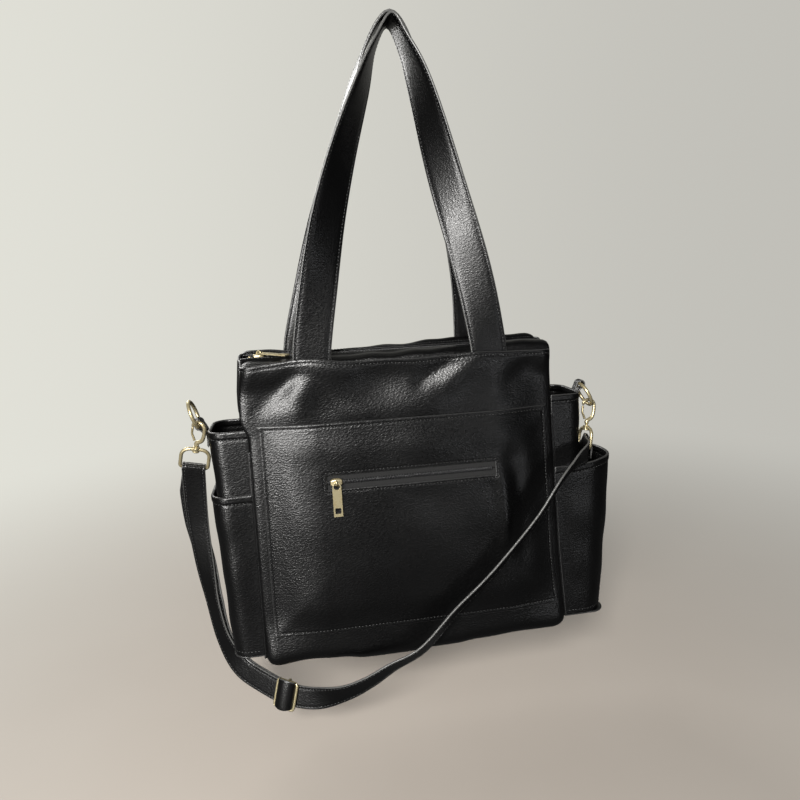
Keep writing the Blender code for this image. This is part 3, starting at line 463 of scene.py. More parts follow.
def rolled(run, straight, radius):
    """A line that runs straight and then turns a quarter circle.

    Out is straight + r sin a, and it is set back by r (1 - cos a).
    """
    turn = np.clip((np.abs(run) - straight) / radius, 0, np.pi / 2)
    out = np.sign(run) * (np.minimum(np.abs(run), straight) + radius * np.sin(turn))
    return out, radius * (1 - np.cos(turn))


def wall_rows(up):
    """A wall's rows: they leave the base by a quarter circle and then lean in to the top.

    Gives each row's height, how far it still lies under the wall, and half the bag's depth there.
    """
    out, rise = rolled(up[:, None], 0, FOOT_ROLL)
    height = rise + np.maximum(up[:, None] - FOOT_ROLL * np.pi / 2, 0)
    return height, FOOT_ROLL - out, half_depth(height)


def panel(side, folds):
    """A wall that rolls back round its sides and under its foot, with folds and waves standing out."""
    across = centred(2 * FLAT_HALF + SIDE_ROLL * np.pi, LEATHER / 2, 0.0012, 0.004)
    up = spaced(CLIMB, LEATHER / 2, 0.0009, 0.004)
    out, back = rolled(across, FLAT_HALF, SIDE_ROLL)
    height, under, depth = wall_rows(up)
    x = -side * out * (1 - SIDE_TUCK * under / HALF_WIDTH)
    outside = joined(x, side * (depth - back) * (1 - under / depth), height + BASE_Z)
    swell = sum(fold(x, height, *each) for each in folds)
    wave = WALL_WAVE * (np.sin(x * 71 + height * 43) + np.sin(x * 37 - height * 88 + 1.0))
    free = ease((height - PATCH_TOP + 0.004) / 0.02) if side < 0 else ease((height - 0.03) / 0.05)
    calm = ease((BAG_HEIGHT - height) / 0.02) * 0.7 + 0.3
    puff = (swell * calm + wave) * free * ease((FLAT_HALF - np.abs(across)) / 0.02 + 0.35)
    middle = settle(outside + facing(outside) * (puff - LEATHER / 2)[..., None])
    top = up[-1] - up
    made = Sheet(middle, across, up, LEATHER / 2 - groove(top[:, None], TOP_STITCH))
    return made.solid, sewn(made, nearest(top, TOP_STITCH), slice(8, -8))


front_wall, front_row = panel(-1, FRONT_FOLDS)
back_wall, back_row = panel(1, BACK_FOLDS)
piece("front_leather", [front_wall], bag_leather, "bag", "front_panel")
piece("back_leather", [back_wall], bag_leather, "bag", "back_panel")
piece("panel_thread", [front_row, back_row], body_thread, "bag")

# Side walls: narrow gussets of the same leather between the two panels. Above the
# pockets they swell a little, and a welt covers the seam beside each pocket.

WELT_WIDTH, WELT_THICKNESS, WELT_FOOT = 0.0058, 0.0024, 0.014
WELT_LENGTH = {-1: 0.222, 1: 0.236}
GUSSET_PUFF, GUSSET_RISE = 0.0036, 0.0036
SIDES = (("left", -1), ("right", 1))


def side_wall(side):
    """A gusset from seam to seam: a flat strip that narrows upwards and swells above the pockets.

    Its rear half is drawn up at the top, where it closes the end of the flap.
    """
    up = spaced(CLIMB, LEATHER / 2, 0.0012, 0.005)
    across = spaced(BASE_DEPTH - 2 * SIDE_ROLL, LEATHER / 2, 0.0015, 0.004)
    share = across / across[-1] * 2 - 1
    height, under, depth = wall_rows(up)
    reach = (depth - SIDE_ROLL) * (1 - under / depth) - SEAM_EASE
    puff = GUSSET_PUFF * np.cos(share * np.pi / 2) ** 2 * ease((height - 0.24) / 0.04)
    x = HALF_WIDTH - SIDE_TUCK * under - LEATHER / 2 + puff
    drawn = GUSSET_RISE * ease(side * share / 0.3) * ease((height - 0.28) / 0.04)
    middle = settle(joined(side * x, side * reach * share, height + BASE_Z + drawn))
    return Sheet(middle, across, up, LEATHER / 2).solid


def welt(side, face):
    """A folded strip set in a seam: a narrow ribbon up the corner, its width pointing outwards."""
    up = spaced(WELT_LENGTH[side], WELT_THICKNESS / 2, 0.001, 0.005)
    across = spaced(WELT_WIDTH, WELT_THICKNESS / 2, 0.0008, 0.0012)
    height = (up + WELT_FOOT)[:, None]
    out = across - 0.0030
    y = face * (half_depth(height) - SIDE_ROLL + 0.0012 + 0.32 * out)
    middle = joined(side * (HALF_WIDTH - 0.0006 + 0.95 * out), y, height + BASE_Z)
    return Sheet(settle(middle), across, up, WELT_THICKNESS / 2).solid


for word, side in SIDES:
    piece(f"{word}_side_leather", [side_wall(side)], bag_leather, "bag", f"{word}_gusset")
    piece(f"{word}_seam_welts", [welt(side, -1), welt(side, 1)], bag_leather, "bag")

# Lining: an open-topped bag of dark woven cloth that stands on the board. It is sewn
# in under the handle roots, so it shows only when the zip is open.

LINING_CLOTH, LINING_CORNER, LINING_INSET, LINING_SLACK = 0.001, 0.012, 0.0110, 0.0012
LINING_FOOT, LINING_SHOULDER, LINING_MOUTH = 0.0069, 0.0245, 0.2954


def woven(name, dark, light, yarn):
    """Plain weave: two crossed waves, one yarn apart, take turns to lie on top."""
    material, place = finish(name)
    along, upward = (place.wave(0.3142 / yarn, 0.4, way) for way in "XZ")
    level = along.maths("MAXIMUM", along * (1 - upward), upward * (1 - along))
    slub = place.noise(180.0, 3.0)
    place.surface({"Base Color": (level * 0.6 + slub * 0.4).between(dark, light),
                   "Roughness": 0.80 + slub * 0.12, "Normal": level.bump(0.5, 0.0002)})
    return material


def arc(x, y, radius, start, end, count):
    """Points on a circle about (x, y), from one angle to another."""
    angle = np.linspace(start, end, count)
    return np.stack([x + radius * np.cos(angle), y + radius * np.sin(angle)], -1)


def oblong(half_x, half_y, corner, count=8):
    """A rectangle with round corners, as points anticlockwise from above."""
    ways = enumerate(((1, 1), (-1, 1), (-1, -1), (1, -1)))
    return np.vstack([arc(x * (half_x - corner), y * (half_y - corner), corner,
                          quarter * np.pi / 2, (quarter + 1) * np.pi / 2, count) for quarter, (x, y) in ways])


def lining():
    """A cloth bag: round-cornered oblongs from the foot to the mouth, then back down inside."""
    climb = np.concatenate([[LINING_FOOT], np.linspace(LINING_SHOULDER, LINING_MOUTH, 24)])
    rings = []
    for inset, heights in ((0.0, climb), (LINING_CLOTH, climb[::-1])):
        for height in heights:
            low = height < LINING_SHOULDER
            half_x = BOARD_LENGTH / 2 if low else FLAT_HALF
            half_y = BOARD_DEPTH / 2 if low else half_depth(height) - LINING_INSET
            ring = oblong(half_x - inset, half_y - inset, LINING_CORNER)
            slack = LINING_SLACK * np.sin(ring[:, :1] * 90 + height * 60) * (0 if low else 1)
            ring = ring * (1 - np.abs(slack) * 4)
            rings.append(joined(ring[:, 0], ring[:, 1], height + BASE_Z + (inset if low else 0)))
    rings = np.array(rings)
    return rings.reshape(-1, 3), loft_quads(len(rings), rings.shape[1])


lining_weave = woven("lining_weave", (0.030, 0.030, 0.033), (0.075, 0.074, 0.078), 0.0006)
piece("cloth_lining", [lining()], (lining_weave, "lining_cloth"), "bag", "lining")

# Patch pocket: a large panel sewn on the front along three sides and its top. It
# stands off a little inside the seam, and a turned-in window holds its zip.

GAP = 0.0003
PATCH_HALF, PATCH_FOOT = 0.156, 0.032
PATCH_SHIFT, PATCH_SAG, PATCH_FULL, PATCH_PUCKER = 0.0022, 0.004, 0.0030, 0.0007
PATCH_LEATHER, PATCH_STAND, PATCH_SEAM = 0.002, 0.0035, 0.034
WINDOW_HALF, WINDOW_FOOT, WINDOW_TOP = 0.091, 0.187, 0.202
PATCH_STITCH, WINDOW_STITCH = 0.0042, 0.0030
PATCH_FOLDS = [
    ((0.103, 0.118), (0.101, 0.178), 0.009, 0.0026),
    ((0.117, 0.100), (0.112, 0.200), 0.013, -0.0022),
]


def in_parts(*places):
    """Grid places between given lines, finer near each of them."""
    spans = [spaced(high - low, 0.0011, 0.001, 0.004) + low for low, high in zip(places[:-1], places[1:])]
    return np.unique(np.round(np.concatenate(spans), 6))


def patch():
    """A panel in front of the wall, standing off by a smooth step inside its seam, with a window."""
    across = in_parts(-PATCH_HALF, -WINDOW_HALF, WINDOW_HALF, PATCH_HALF)
    up = in_parts(PATCH_FOOT, WINDOW_FOOT, WINDOW_TOP, PATCH_TOP)
    x, height = np.meshgrid(across, up)
    border = edge_distance(across, up)
    above = np.maximum(np.maximum(WINDOW_FOOT - height, height - WINDOW_TOP), 0)
    window = np.hypot(np.maximum(np.abs(x) - WINDOW_HALF, 0), above)
    back = SIDE_ROLL - np.sqrt(SIDE_ROLL ** 2 - np.clip(np.abs(x) - FLAT_HALF, 0, SIDE_ROLL) ** 2)
    full = ease((border - 0.004) / 0.07) * (1 - ease((height - 0.13) / 0.06))
    stand = GAP + (PATCH_STAND - GAP) * ease(border / PATCH_SEAM) + PATCH_FULL * full
    folds = sum(fold(x, height, *each) for each in PATCH_FOLDS) * ease(border / 0.02)
    pucker = PATCH_PUCKER * np.sin(x * 48 + 0.7) * np.sin(height * 62 + x * 21)
    pucker = pucker * ease(border / 0.03) * ease(window / 0.02)
    y = back - half_depth(height) - stand - folds - pucker - PATCH_LEATHER / 2
    middle = settle(joined(x + PATCH_SHIFT * ease(border / 0.02 + 0.5), y, height + BASE_Z))
    middle[..., 2] = height + BASE_Z - PATCH_SAG * (1 - ease(height / 0.15))
    half = PATCH_LEATHER / 2 + GAP - groove(border, PATCH_STITCH) - groove(window, WINDOW_STITCH, 0.0003)
    centre_x, centre_h = (across[1:] + across[:-1]) / 2, (up[1:] + up[:-1]) / 2
    clear = (centre_h < WINDOW_FOOT) | (centre_h > WINDOW_TOP)
    made = Sheet(middle, across, up, half, window, (np.abs(centre_x) > WINDOW_HALF) | clear[:, None])

    def round_about(half, low, high):
        """Stitches along the four sides of a rectangle."""
        row = (across > -half) & (across < half)
        column = (up > low) & (up < high)
        return ([sewn(made, nearest(up, place), row) for place in (low, high)]
                + [sewn(made, column, nearest(across, place)) for place in (-half, half)])

    return made.solid, (
        round_about(PATCH_HALF - PATCH_STITCH, PATCH_FOOT + PATCH_STITCH, PATCH_TOP - PATCH_STITCH)
        + round_about(WINDOW_HALF + WINDOW_STITCH, WINDOW_FOOT - WINDOW_STITCH, WINDOW_TOP + WINDOW_STITCH))


patch_panel, patch_rows = patch()
piece("patch_leather", [patch_panel], bag_leather, "bag", "patch_pocket")
piece("patch_thread", patch_rows, body_thread, "bag")

# Patch zip: two woven tapes behind the window with a moulded coil along their meeting
# edges, a brass slider that rides over the coil, and a flat pull that hangs on it.

TAPE_THICKNESS, TAPE_INNER = 0.0008, 0.0004
PATCH_TAPE, PATCH_TAPE_REACH, PATCH_COIL = 0.198, 0.0125, 0.1814
COIL_WIDTH, COIL_HEIGHT, TOOTH_PITCH, TOOTH_LEAN = 0.0045, 0.0021, 0.0014, 0.00035
SLIDER_LENGTH, SLIDER_WIDTH, SLIDER_TOP, SLIDER_PLATE = 0.012, 0.0086, 0.0039, 0.0015
SLIDER_BEND = 0.0016
BRIDGE_RADIUS, BRIDGE_WIRE, BRIDGE_RISE, BRIDGE_FOOT = 0.0026, 0.0007, 0.0009, -0.0012
ZIP_FACE, PATCH_SLIDER = np.array([0.0, -0.0534, -0.4595]), np.array([-0.079, -0.05369, -0.45947])
ZIP_AXES = np.array([[1.0, 0.0, 0.0], [0.0, 0.0861, 0.9963], [0.0, -0.9963, 0.0861]])
tape_weave = woven("zip_tape_weave", (0.003, 0.003, 0.003), (0.010, 0.010, 0.010), 0.0009), "zip_tape"
coil_plastic, place = finish("coil_plastic")
mottle = place.noise(700.0)
place.surface({"Base Color": mottle.between((0.010, 0.010, 0.011), (0.022, 0.022, 0.023)),
               "Roughness": 0.32 + mottle * 0.16})


def plating(name, tone, worn):
    """Pale gold plating: polished metal, tarnished in clouds, with fine drawn scratches."""
    material, place = finish(name)
    tarnish = place.noise(240.0, 4.0).ramp(0.45, 0.72)
    scratch = place.stretched((1.0, 1.0, 0.12)).noise(2600.0)
    place.surface({"Base Color": tarnish.between(tone, worn), "Metallic": 0.72,
                   "Roughness": 0.30 + tarnish * 0.10 + scratch * 0.08,
                   "Normal": scratch.bump(0.12, 0.00006)})
    return material


gold = plating("pale_gold", (0.53, 0.46, 0.28), (0.38, 0.31, 0.17)), "gold_hardware"


def placed(points, origin, x_axis, y_axis, z_axis):
    """Points of a piece's own axes, put in their place."""
    return origin + points[..., :1] * x_axis + points[..., 1:2] * y_axis + points[..., 2:] * z_axis


def tape(length, side, reach, *place):
    """A flat woven strip on one side of the zip's middle line, its face level with the place."""
    near, far = sorted((side * TAPE_INNER, side * reach))
    across = centred(length, TAPE_THICKNESS / 2, 0.003, 0.010)
    up = spaced(far - near, TAPE_THICKNESS / 2, 0.001, 0.002) + near
    middle = placed(joined(across, up[:, None], -TAPE_THICKNESS / 2), *place)
    return Sheet(middle, across, up, TAPE_THICKNESS / 2).solid


def coil(length, *place):
    """Closed coil teeth: flat ovals across the zip, a pitch apart, each second one set to one side."""
    count = int(length / TOOTH_PITCH)
    spot = (np.arange(count) + 0.5) * length / count - length / 2
    lean = np.where(np.arange(count) % 2, TOOTH_LEAN, -TOOTH_LEAN)
    girth = np.array([0.55, 1.0, 1.0, 0.55])
    ahead, out = (np.tile(axis, (count, 1)) for axis in place[2:])
    return bars(placed(joined(spot, lean, GAP + COIL_HEIGHT / 2), *place), ahead, out,
                (COIL_WIDTH / 2 - GAP) * np.array([-1.0, -0.55, 0.55, 1.0]), np.zeros(4),
                0.00062 * girth, COIL_HEIGHT / 2 * girth)


def circle(count):
    """Points round a circle of radius 1."""
    turn = np.arange(count) * 2 * np.pi / count
    return np.stack([np.cos(turn), np.sin(turn)], -1)


def wire(path, radius, upright, closed=False, around=14):
    """Round wire: a circle carried along a path, square to it. The path never runs along upright."""
    ahead = np.roll(path, -1, 0) - np.roll(path, 1, 0) if closed else np.gradient(path, axis=0)
    tangent = unit(ahead)
    side = square(upright, tangent)
    ring = circle(around)
    radius = np.broadcast_to(radius, len(path))[:, None, None]
    turned = ring[:, :1] * side[:, None] + ring[:, 1:] * np.cross(tangent, side)[:, None]
    return (path[:, None] + radius * turned).reshape(-1, 3), loft_quads(len(path), around, closed)


def zip_slider(turn, *place):
    """A slider: an oval domed plate bent down over the coil at both sides, with a wire bridge."""
    width = SLIDER_WIDTH - SLIDER_PLATE
    across = centred(width + 2 * (SLIDER_TOP - 0.0009), 0.00070, 0.0006, 0.0008)
    up = centred(SLIDER_LENGTH, 0.00070, 0.0006, 0.001)
    round_end = np.sqrt(1 - 0.75 * (2 * up / SLIDER_LENGTH) ** 2)[:, None]
    skirt = 1 - 0.6 * ease((np.abs(up) - 0.0026) / 0.003)[:, None]
    straight = width / 2 - SLIDER_BEND
    y, drop = rolled(across, straight, SLIDER_BEND)
    drop = (drop + np.maximum(np.abs(across) - straight - SLIDER_BEND * np.pi / 2, 0)) * skirt
    crown = 0.0005 * np.cos(up / SLIDER_LENGTH * np.pi)[:, None]
    middle = joined(up[:, None], y * round_end, SLIDER_TOP - 0.00085 - drop + crown * (drop < 0.001))
    plate = Sheet(placed(middle[:, ::-1], *place), across, up, SLIDER_PLATE / 2)
    arch = np.vstack([(BRIDGE_RADIUS, BRIDGE_FOOT), arc(0, 0, BRIDGE_RADIUS, 0, np.pi, 17),
                      (-BRIDGE_RADIUS, BRIDGE_FOOT)])
    line = joined(arch[:, 0] * np.cos(turn), arch[:, 0] * np.sin(turn), arch[:, 1] + SLIDER_TOP + BRIDGE_RISE)
    upright = np.cos(turn) * place[2] - np.sin(turn) * place[1]
    return [plate.solid, wire(placed(line, *place), BRIDGE_WIRE, upright, around=10)]


def bevelled(node, look):
    """A rigid CAD piece kept as it is, with its sharp edges rounded and its own finish."""
    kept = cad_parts[node]
    kept.data.materials.clear()
    kept.data.materials.append(look[0])
    weld = kept.modifiers.new("weld", "WELD")
    weld.merge_threshold = 0.00002
    bevel = kept.modifiers.new("rubbed_edge", "BEVEL")
    bevel.width = 0.00028
    bevel.segments = 3
    bevel.limit_method = "ANGLE"
    bevel.angle_limit = 0.7
    normal = kept.modifiers.new("even_shade", "WEIGHTED_NORMAL")
    normal.keep_sharp = False


for word, side in (("upper", 1), ("lower", -1)):
    strip = tape(PATCH_TAPE, side, PATCH_TAPE_REACH, ZIP_FACE, *ZIP_AXES)
    piece(f"{word}_patch_tape", [strip], tape_weave, "bag", f"{word}_pocket_tape")
teeth = coil_plastic, "zip_coil"
piece("patch_coil", [coil(PATCH_COIL, ZIP_FACE, *ZIP_AXES)], teeth, "bag", "pocket_zip_coil")
piece("patch_slider", zip_slider(-np.pi / 2, PATCH_SLIDER, *ZIP_AXES), gold, "pocket_zip_slider",
      "pocket_zip_slider")
bevelled("pocket_zip_pull", gold)

# Side pockets: on each side a tall bottle pocket, and a lower slip pocket round it.
# Each wall is one piece of leather with a turned and stitched rim, on a shared base.

POCKET_LEATHER, POCKET_CORNER, POCKET_FOOT = 0.002, 0.016, 0.0073
SLIP_RIM, SLIP_LIFT, BOTTLE_LIFT, POCKET_SLACK = 0.184, 0.0052, 0.0040, 0.0009
HEM, HEM_SWELL, HEM_STITCH, FOOT_STITCH = 0.0068, 0.0007, 0.0078, 0.005
BOTTLE_RIM = {-1: 0.252, 1: 0.262}
BOTTLE_REACH = {-1: (0.031, 0.042), 1: (0.038, 0.040)}
SLIP_SPREAD = {-1: (0.0, 0.003), 1: (0.020, 0.0415)}


def bottle_out(side, height):
    """How far a bottle pocket stands out, leaning evenly from its base to its rim."""
    foot, rim = BOTTLE_REACH[side]
    return foot + (rim - foot) * height / BOTTLE_RIM[side]


def slip_spread(side, height):
    """How far a slip pocket stands off the bottle pocket, growing fast at its foot and slower above."""
    foot, rim = SLIP_SPREAD[side]
    return GAP + foot + (rim - foot) * (height / SLIP_RIM) ** 0.7


def settle_sideways(points):
    """The bag's give without its sag: the pockets are sewn to the walls and keep their heights."""
    moved = settle(points)
    moved[..., 2] = points[..., 2]
    return moved


def pocket(side, rim, outer_wall):
    """A pocket wall from its base to its rim.

    In plan it runs out from the front seam, round a corner, along the side and back the same way.
    """
    up = spaced(rim - POCKET_FOOT, 0.0016, 0.0009, 0.004)
    height = (up + POCKET_FOOT)[:, None]
    spread = slip_spread(side, height) if outer_wall else 0 * height
    reach = bottle_out(side, height) + spread
    depth = half_depth(height) - SIDE_ROLL + GAP * outer_wall
    corner = POCKET_CORNER + spread / 2
    straight, quarter = reach - corner, corner * np.pi / 2
    whole = 2 * (straight + quarter + depth - corner)
    typical = float(whole[len(whole) // 2, 0])
    across = spaced(typical, 0.0010, 0.0012, 0.0035)
    run = across / typical * whole
    near = np.minimum(run, whole - run)
    out, back = rolled(near, straight, corner)
    y = np.where(run < whole / 2, -1, 1) * (depth - back - np.maximum(near - straight - quarter, 0))
    lift = (SLIP_LIFT * ease((out - 0.020) / 0.050) if outer_wall else BOTTLE_LIFT) * (side > 0)
    level = height + BASE_Z + lift * ease((height - 0.08) / (rim - 0.08))
    surface = joined(side * (HALF_WIDTH + GAP + out), side * y, level)
    top = (up[-1] - up)[:, None]
    slack = np.sin(height * 75 + y * 40 * side) * np.sin(y * 55 + height * 24 + side)
    push = POCKET_SLACK * slack * ease(near / 0.03) * ease(top / 0.05) * ease((height - 0.01) / 0.04)
    push = push + (1 if outer_wall else -1) * POCKET_LEATHER / 2
    hem = HEM_SWELL * (1 - ease((top - HEM) / 0.0008))
    middle = settle_sideways(surface + facing(surface) * push[..., None])
    made = Sheet(middle, across, up, POCKET_LEATHER / 2 + hem - groove(top, HEM_STITCH))
    rows = [nearest(top, HEM_STITCH)] + [nearest(up, FOOT_STITCH)] * outer_wall
    return made.solid, [sewn(made, row, slice(6, -6)) for row in rows]


def pocket_base(side):
    """The leather under both pockets: a level half oblong with its outer corners rounded."""
    reach = bottle_out(side, POCKET_FOOT) + slip_spread(side, POCKET_FOOT) + POCKET_LEATHER + 0.0006
    depth = half_depth(0.005) - SIDE_ROLL
    across = spaced(reach, 0.0010, 0.001, 0.003)
    up = centred(2 * depth, 0.0010, 0.002, 0.004)
    rounded = np.clip(across - reach + POCKET_CORNER, 0, POCKET_CORNER)
    share = 1 - (POCKET_CORNER - np.sqrt(POCKET_CORNER ** 2 - rounded ** 2)) / depth
    middle = joined(side * (HALF_WIDTH + GAP + across), side * up[:, None] * share, 0.006 + BASE_Z)
    return Sheet(settle_sideways(middle), across, up, 0.0011).solid


for word, side in SIDES:
    bottle_wall, bottle_rows = pocket(side, BOTTLE_RIM[side], False)
    slip_wall, slip_rows = pocket(side, SLIP_RIM, True)
    piece(f"{word}_bottle_leather", [bottle_wall], bag_leather, "bag", f"{word}_bottle_pocket")
    piece(f"{word}_slip_leather", [slip_wall], bag_leather, "bag", f"{word}_slip_pocket")
    piece(f"{word}_pocket_thread", bottle_rows + slip_rows, body_thread, "bag")
    piece(f"{word}_base_leather", [pocket_base(side)], bag_leather, "bag", f"{word}_pocket_base")

# Ring tabs: a narrow strip of strap leather folded through each ring and sewn flat to
# the bottle pocket's outer wall, just under the rim.

TAB_WIDTH, TAB_LEATHER, TAB_EYE, TAB_TAIL, TAB_SEAM = 0.009, 0.0018, 0.0047, 0.028, 0.0031
TAB_STITCHES = 0.0030, 0.0023, 0.00034
RING_TABS = {"left": (-1, 0.011, 0.003, np.radians(163), 0.0045, np.radians(24)),
             "right": (1, 0.010, 0.008, np.radians(26), 0.0, 0.0)}
# The last colour is for the cut edges: partly their own colour, partly a painted highlight on the round
# edges.
strap_leather = (pebbled("strap_leather", (0.0013, 0.0013, 0.0014), 0.0013, 0.26, 0.36, (0.08, 0.08, 0.077)),
                 "strap_leather")
strap_thread = thread, "strap_leather"


def follow(points, step):
    """Stations about a step apart on a smooth curve through rows of numbers.

    Between two rows the curve is the cubic that leaves each along the line between its neighbours.
    """
    rows = np.array(points, float)
    padded = np.vstack([2 * rows[0] - rows[1], rows, 2 * rows[-1] - rows[-2]])
    stations = []
    for k in range(len(rows) - 1):
        a, b, c, d = padded[k:k + 4]
        count = max(1, round(np.linalg.norm(c[:3] - b[:3]) / step))
        t = (np.arange(count) / count)[:, None]
        stations.append(b + 0.5 * t * (c - a + t * (2 * a - 5 * b + 4 * c - d + t * (3 * (b - c) + d - a))))
    return np.vstack(stations + [rows[-1:]])


def ring_tab(side, eye_out, eye_rise, lean, middle_y, skew):
    """A strip round a ring: up the wall, round an eye and down again over itself.

    Skew tips the eye along the ring's reach, in proportion to the distance from the tab's middle.
    """
    reach = np.array([side * np.sin(lean), 0, -np.cos(lean)])
    rim = BOTTLE_RIM[side]
    wall = HALF_WIDTH + GAP + bottle_out(side, rim) + GAP
    first = TAB_LEATHER / 2 + GAP
    second = first + TAB_LEATHER + 2 * GAP
    neck = eye_rise - 2.6 * TAB_EYE
    tail = neck - TAB_TAIL / 2
    path = follow(np.vstack([
        (first, tail), (first, neck), ((first + eye_out - TAB_EYE) / 2, eye_rise - TAB_EYE),
        arc(eye_out, eye_rise, TAB_EYE, np.pi, -np.pi / 2, 10),
        ((second + eye_out) / 2, eye_rise - 1.9 * TAB_EYE), (second, neck), (second, tail)]), 0.0012)
    run = measured(path)
    out, rise = path[:, :1], path[:, 1:]
    across = centred(TAB_WIDTH, TAB_LEATHER / 2, 0.0008, 0.0012)
    loose = np.clip((rise - neck) / (eye_rise - TAB_EYE - neck), 0, 1)
    y = -side * across
    middle = joined(side * (wall + out), middle_y + y, rim + rise + BASE_Z)
    made = Sheet(middle + (y * np.tan(skew) * loose)[..., None] * reach, across, run, TAB_LEATHER / 2)
    rows = (run > run[-1] - 0.016) & (run < run[-1] - 0.0012)
    inward = np.mean(made.normal[rows, len(across) // 2, 0]) * side <= 0
    return made.solid, [sewn(made, rows, nearest(across, place), *TAB_STITCHES, back=inward)
                        for place in (-TAB_SEAM, TAB_SEAM)]


for word, tab in RING_TABS.items():
    leather, rows = ring_tab(*tab)
    piece(f"{word}_tab_leather", [leather], strap_leather, "bag", f"{word}_ring_tab")
    piece(f"{word}_tab_thread", rows, strap_thread, "bag")

# Handles: two long flat straps, stitched along both edges. Each is sewn in behind the
# panel's top edge and turns on its way up, and the rear one lies over the front one.

HANDLE_WIDTH, HANDLE_THICKNESS, HANDLE_LOFT = 0.040, 0.0035, 0.0003
ROOT_RISE = -0.028, -0.010, 0.010
HANDLE_LEG, REAR_LEFT_LEG, ROOT_MIDDLE, HANDLE_DROP = 0.094, 0.103, 0.03395, 0.330
EDGE_STITCH = 0.0034
BEND_OUT, BEND_LOW, BEND_HIGH = 0.0375, -0.004, 0.012
CREST = BAG_HEIGHT + HANDLE_DROP + HANDLE_THICKNESS / 2
FRONT_ROUTE = [
    (-0.085, -0.031, 0.388, 1, 0.12, 0),
    (-0.070, -0.024, 0.460, 0.9, 0.42, 0),
    (-0.050, -0.0175, 0.528, 0.75, 0.7, 0),
    (-0.026, -0.011, 0.593, 0.45, 0.9, 0),
    (-0.010, -0.006, 0.634, 0.1, 1, 0),
    (0.005, -0.004, CREST, 0, 1, 0),
    (0.018, -0.006, 0.634, -0.1, 1, 0),
    (0.033, -0.0115, 0.591, -0.45, 0.9, 0),
    (0.055, -0.020, 0.502, -0.8, 0.6, 0),
    (0.079, -0.0285, 0.410, -0.95, 0.3, 0),
]
REAR_ROUTE = [
    (-0.087, 0.031, 0.400, 1, -0.25, 0),
    (-0.066, 0.022, 0.488, 0.68, -0.73, 0),
    (-0.043, 0.015, 0.568, 0.32, -0.95, 0),
    (-0.0225, 0.009, 0.628, 0.05, -1, 0),
    (0.004, 0.004, CREST + 0.0045, 0, -1, 0),
    (0.030, 0.009, 0.628, -0.1, -1, 0),
    (0.054, 0.017, 0.556, -0.55, -0.85, 0),
    (0.074, 0.0235, 0.475, -0.85, -0.5, 0),
    (0.090, 0.030, 0.398, -1, -0.12, 0),
]


def ribbon_rows(route, step):
    """Middle points and width directions along a strap, each width square to the way that it runs."""
    rows = follow(route, step)
    return rows[:, :3], square(rows[:, 3:], unit(np.gradient(rows[:, :3], axis=0)))


def strap(middle, width_way, width, thickness, seat, loft=0.0):
    """A flat strap with round edges, grooved under a row of stitches along both edges of both faces."""
    across = centred(width, thickness / 2, 0.0008, 0.0035)
    from_side = width / 2 - np.abs(across)
    half = thickness / 2 + loft * ease((from_side - seat) / 0.005) - groove(from_side, seat, 0.0003)
    made = Sheet(middle[:, None] + across[:, None] * width_way[:, None], across, measured(middle), half)
    return made.solid, [sewn(made, slice(2, -2), nearest(across, place), back=back)
                        for place in (seat - width / 2, width / 2 - seat) for back in (False, True)]


def handle(route, side, left):
    """A handle from the foot of its left root, over its crest, to the foot of its right one."""
    def root(x, way):
        return [(x, side * ROOT_MIDDLE, BAG_HEIGHT + rise, way, 0, 0) for rise in ROOT_RISE]
    middle, width_way = ribbon_rows(root(-left, 1) + route + root(HANDLE_LEG, -1)[::-1], 0.005)
    seated = settle(middle + [0, 0, BASE_Z])
    thickness = HANDLE_THICKNESS - 2 * HANDLE_LOFT
    return strap(seated, width_way, HANDLE_WIDTH, thickness, EDGE_STITCH, HANDLE_LOFT)


HANDLES = ("front", FRONT_ROUTE, -1, HANDLE_LEG), ("rear", REAR_ROUTE, 1, REAR_LEFT_LEG)
for word, route, side, left in HANDLES:
    leather, rows = handle(route, side, left)
    body = f"{word}_handle"
    leather = piece(f"{body}_leather", [leather], strap_leather, None,
                    body, f"{body}_left_root", f"{body}_right_root")
    for made in (leather, piece(f"{body}_thread", rows, strap_thread)):
        side * BEND_OUT
        side * BEND_OUT
        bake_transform(made)

# Top closure: two puffed leather flaps, each with a zip tape sewn under its inner edge,
# and the closed coil between them with a brass stop at both ends.

FLAP_THICKNESS, FLAP_HALF, FLAP_STITCH = 0.0015, 0.1655, 0.0030
FLAP_END, FLAP_DROP, FLAP_WAVE = 0.012, 0.004, 0.0006
TOP_TAPE, TOP_TAPE_REACH, TOP_COIL, TOP_SLIDER_TURN = 0.324, 0.017, 0.317, np.radians(-32)
FLAP_STITCHES = 0.0034, 0.0026, 0.00034
ZIP_TOP, TOP_SLIDER = np.array([0.0, 0.0, 0.3232 + BASE_Z]), np.array([-0.1505, 0.0, -0.3305])
STOP_PLACE, STOP_HEIGHT, STOP_HALF = 0.1603, 0.3240, (0.0015, 0.00235, 0.0016)
FLAP_LINE = [(0.0319, -0.0140), (0.0318, -0.0070), (0.0298, -0.0005), (0.0248, 0.0034), (0.0186, 0.0042),
             (0.0145, 0.0028), (0.0120, 0.0008)]
FLAP_CREST = {
    -1: ([-0.160, -0.100, -0.030, 0.050, 0.126, 0.158], [-0.0075, -0.0065, -0.0048, -0.0030, 0.0, 0.0]),
    1: ([-0.160, -0.120, -0.071, -0.010, 0.073, 0.137, 0.160],
        [0.0024, -0.0012, -0.0038, -0.0012, 0.0027, 0.0033, 0.0020]),
}


